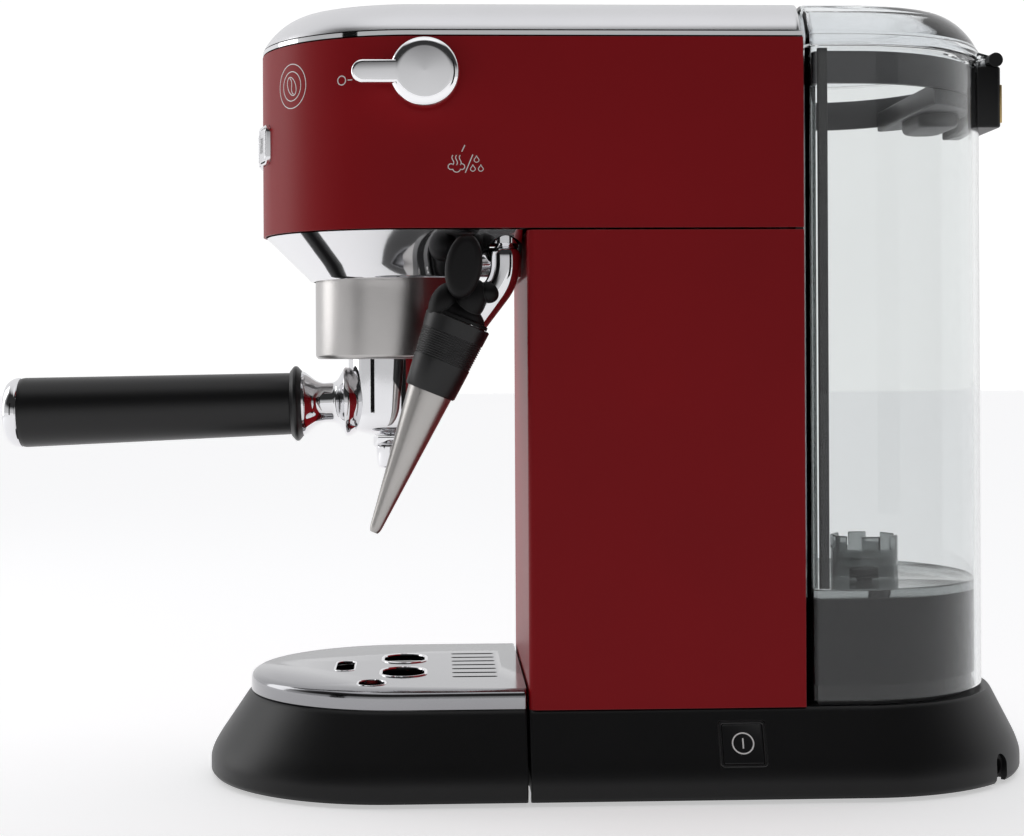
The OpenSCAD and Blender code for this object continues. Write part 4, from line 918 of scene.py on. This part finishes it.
# The lid: a clear smoky cap with a shoulder line, a sloping back and two arms on the hinge.
hinge_low, hinge_high = box_mm("hinge_pin")
hinge_at = (hinge_low + hinge_high) / 2
lid_z = hinge_at[2] + 0.2
lid_outer = np.vstack([[tank_r - 0.3, lid_z], [tank_r, lid_z + 0.3], [tank_r, lid_z + 3.6],
                       domed(tank_r - 0.5, 12, lid_z + 4, lid_top - lid_z - 4)])
lid_inner = np.array([[tank_r - 14.2, lid_top - 2.2], [tank_r - 9, lid_top - 4.6], [tank_r - 3.2, lid_z + 5],
                      [tank_r - 2.2, lid_z + 3.6], [tank_r - 2.2, lid_z]])
lid_rows = [(tank_x, tank_front + 2.2, 2.0, r, z) for r, z in lid_inner]
lid_rows += [(tank_x, tank_front, 3.0, r, z) for r, z in lid_outer]
piece("smoky_lid", [d_solid(lid_rows, nose=96)], smoky_clear, "lid", ["tank_lid"], crease=40,
      cut=[block((hinge_at[0] - 8, -24.3, lid_z - 3), (hinge_at[0] + 20, 24.3, lid_z + 2.8))])
arm = np.vstack([arc((0, 0), 2.4, -180, 90, 20), [(-6.8, 4.4), (-6.8, 1.4), (-2.6, 1.4)]])
arms = [slab(arm, -3.9, 3.9, 0.3, crosswise(hinge_at[0], way * 13.5, hinge_at[2])) for way in (-1, 1)]
piece("lid_arms", arms, smoky_clear, "lid", crease=40)

block_z = box_mm("hinge_block")[0][2]
body_plan = rounded_outline(14.2, 47.6, 2.0, 6) + (hinge_at[0] - 4.9, 0)
piece("hinge_housing", [slab(body_plan, block_z, hinge_at[2] - 2.6, 0.8)], black_shell, "tank",
      ["hinge_block"], crease=40,
      cut=[rod(tank_r + 0.03, block_z - 5, lid_z + 5, upright(tank_x), 160)])
knuckles = [rod(2.9, a, b, crosswise(hinge_at[0], 0, hinge_at[2]), 32)
            for a, b in ((-24, -17.9), (-9.1, 9.1), (17.9, 24))]
piece("hinge_knuckles", knuckles, black_shell, "tank", crease=40)
strip = slab(rounded_outline(1.2, 14, 0.5, 4) + (hinge_at[0] + 2.2, -16), block_z + 2, hinge_at[2] - 10, 0.2)
piece("hinge_strip", [strip], valve_brass, "tank")

# ---- camera, light and floor

camera = add_object("camera", bpy.data.cameras.new("camera"))
camera.data.sensor_width = 36
camera.data.lens = 68.48
camera.data.shift_y = -0.0566
camera.location = (-0.0321, -0.8024, 0.1675)
camera.rotation_euler = (math.radians(90), math.radians(0.28), -0.04)
camera.data.clip_end = 50
bpy.context.scene.camera = camera
bpy.context.scene.view_settings.view_transform = "Standard"

world = bpy.data.worlds.new("studio")
bpy.context.scene.world = world
world.use_nodes = True
sky = world.node_tree
backdrop = sky.nodes["Background"]
toward = add(sky, "SeparateXYZ", add(sky, "TexCoord").outputs["Generated"])
height = add(sky, "MapRange", toward.outputs["Z"], in_From_Min=-1.0, in_From_Max=1.0)
level = add(sky, "ValToRGB", height.outputs["Result"])
stops = level.color_ramp.elements
stops[0].position, stops[0].color = 0.0, (0.35, 0.35, 0.35, 1)
stops[1].position, stops[1].color = 1.0, (0.95, 0.95, 0.97, 1)
for position, value in ((0.42, 0.5), (0.5, 0.6), (0.58, 0.5), (0.66, 0.03), (0.9, 0.03), (0.96, 0.95)):
    stops.new(position).color = (value, value, value * 1.01, 1)
behind = add(sky, "MapRange", toward.outputs["Y"], interpolation_type="SMOOTHSTEP", in_From_Min=-0.2,
             in_From_Max=0.35)
blend = add(sky, "Mix", data_type="RGBA", in_Factor=behind.outputs["Result"], in_A=level.outputs["Color"],
            in_B=(0.82, 0.82, 0.83, 1))
ray = add(sky, "LightPath").outputs
either = add(sky, "Math", ray["Is Camera Ray"], ray["Is Transmission Ray"], operation="MAXIMUM")
seen = add(sky, "Mix", data_type="RGBA", in_Factor=either.outputs[0], in_A=blend.outputs["Result"],
           in_B=(1, 1, 1, 1))
feed(sky, backdrop.inputs["Color"], seen.outputs["Result"])
backdrop.inputs["Strength"].default_value = 1.05


def softbox(name, at, look, width, height, power):
    """A rectangular area light at a point, facing another point."""
    light = bpy.data.lights.new(name, "AREA")
    light.shape, light.size, light.size_y, light.energy = "RECTANGLE", width, height, power
    obj = add_object(name, light)
    obj.location = at
    obj.rotation_euler = (Vector(look) - Vector(at)).to_track_quat("-Z", "Y").to_euler()


def sheet(name, corners, material):
    """A flat sheet with four corners."""
    mesh = bpy.data.meshes.new(name)
    mesh.from_pydata(corners, [], [(0, 1, 2, 3)])
    mesh.materials.append(material)
    return add_object(name, mesh)


softbox("left_softbox", (-1.1, 0.35, 0.5), (-0.05, 0, 0.2), 0.5, 0.9, 2.2)

paper = bpy.data.materials.new("white_paper")
paper.use_nodes = True
tree = paper.node_tree
matt = add(tree, "BsdfDiffuse", in_Color=(0.8, 0.8, 0.81, 1))
lit = add(tree, "Emission", in_Color=(1, 1, 1, 1), in_Strength=0.48)
both = add(tree, "AddShader", matt.outputs[0], lit.outputs[0])
feed(tree, tree.nodes["Material Output"].inputs["Surface"], both.outputs[0])
size = 9.0
floor = sheet("floor", [(-size, -size, 0), (size, -size, 0), (size, size, 0), (-size, size, 0)], paper)
floor.visible_diffuse = False


def dark_card(name, low, high):
    """A black upright card that only mirrors see."""
    flat = bpy.data.materials.new(name)
    flat.use_nodes = True
    surface = flat.node_tree.nodes["Principled BSDF"]
    surface.inputs["Base Color"].default_value = (0.01, 0.01, 0.01, 1)
    surface.inputs["Specular IOR Level"].default_value = 0
    obj = sheet(name, [(low[0], low[1], low[2]), (high[0], high[1], low[2]), (high[0], high[1], high[2]),
                       (low[0], low[1], high[2])], flat)
    for way in ("camera", "diffuse", "transmission", "shadow", "volume_scatter"):
        setattr(obj, "visible_" + way, False)


dark_card("card_left", (-1.3, -0.9, -0.2), (-1.05, -1.1, 0.9))
dark_card("card_right", (0.75, -1.3, -0.2), (1.1, -1.05, 0.9))
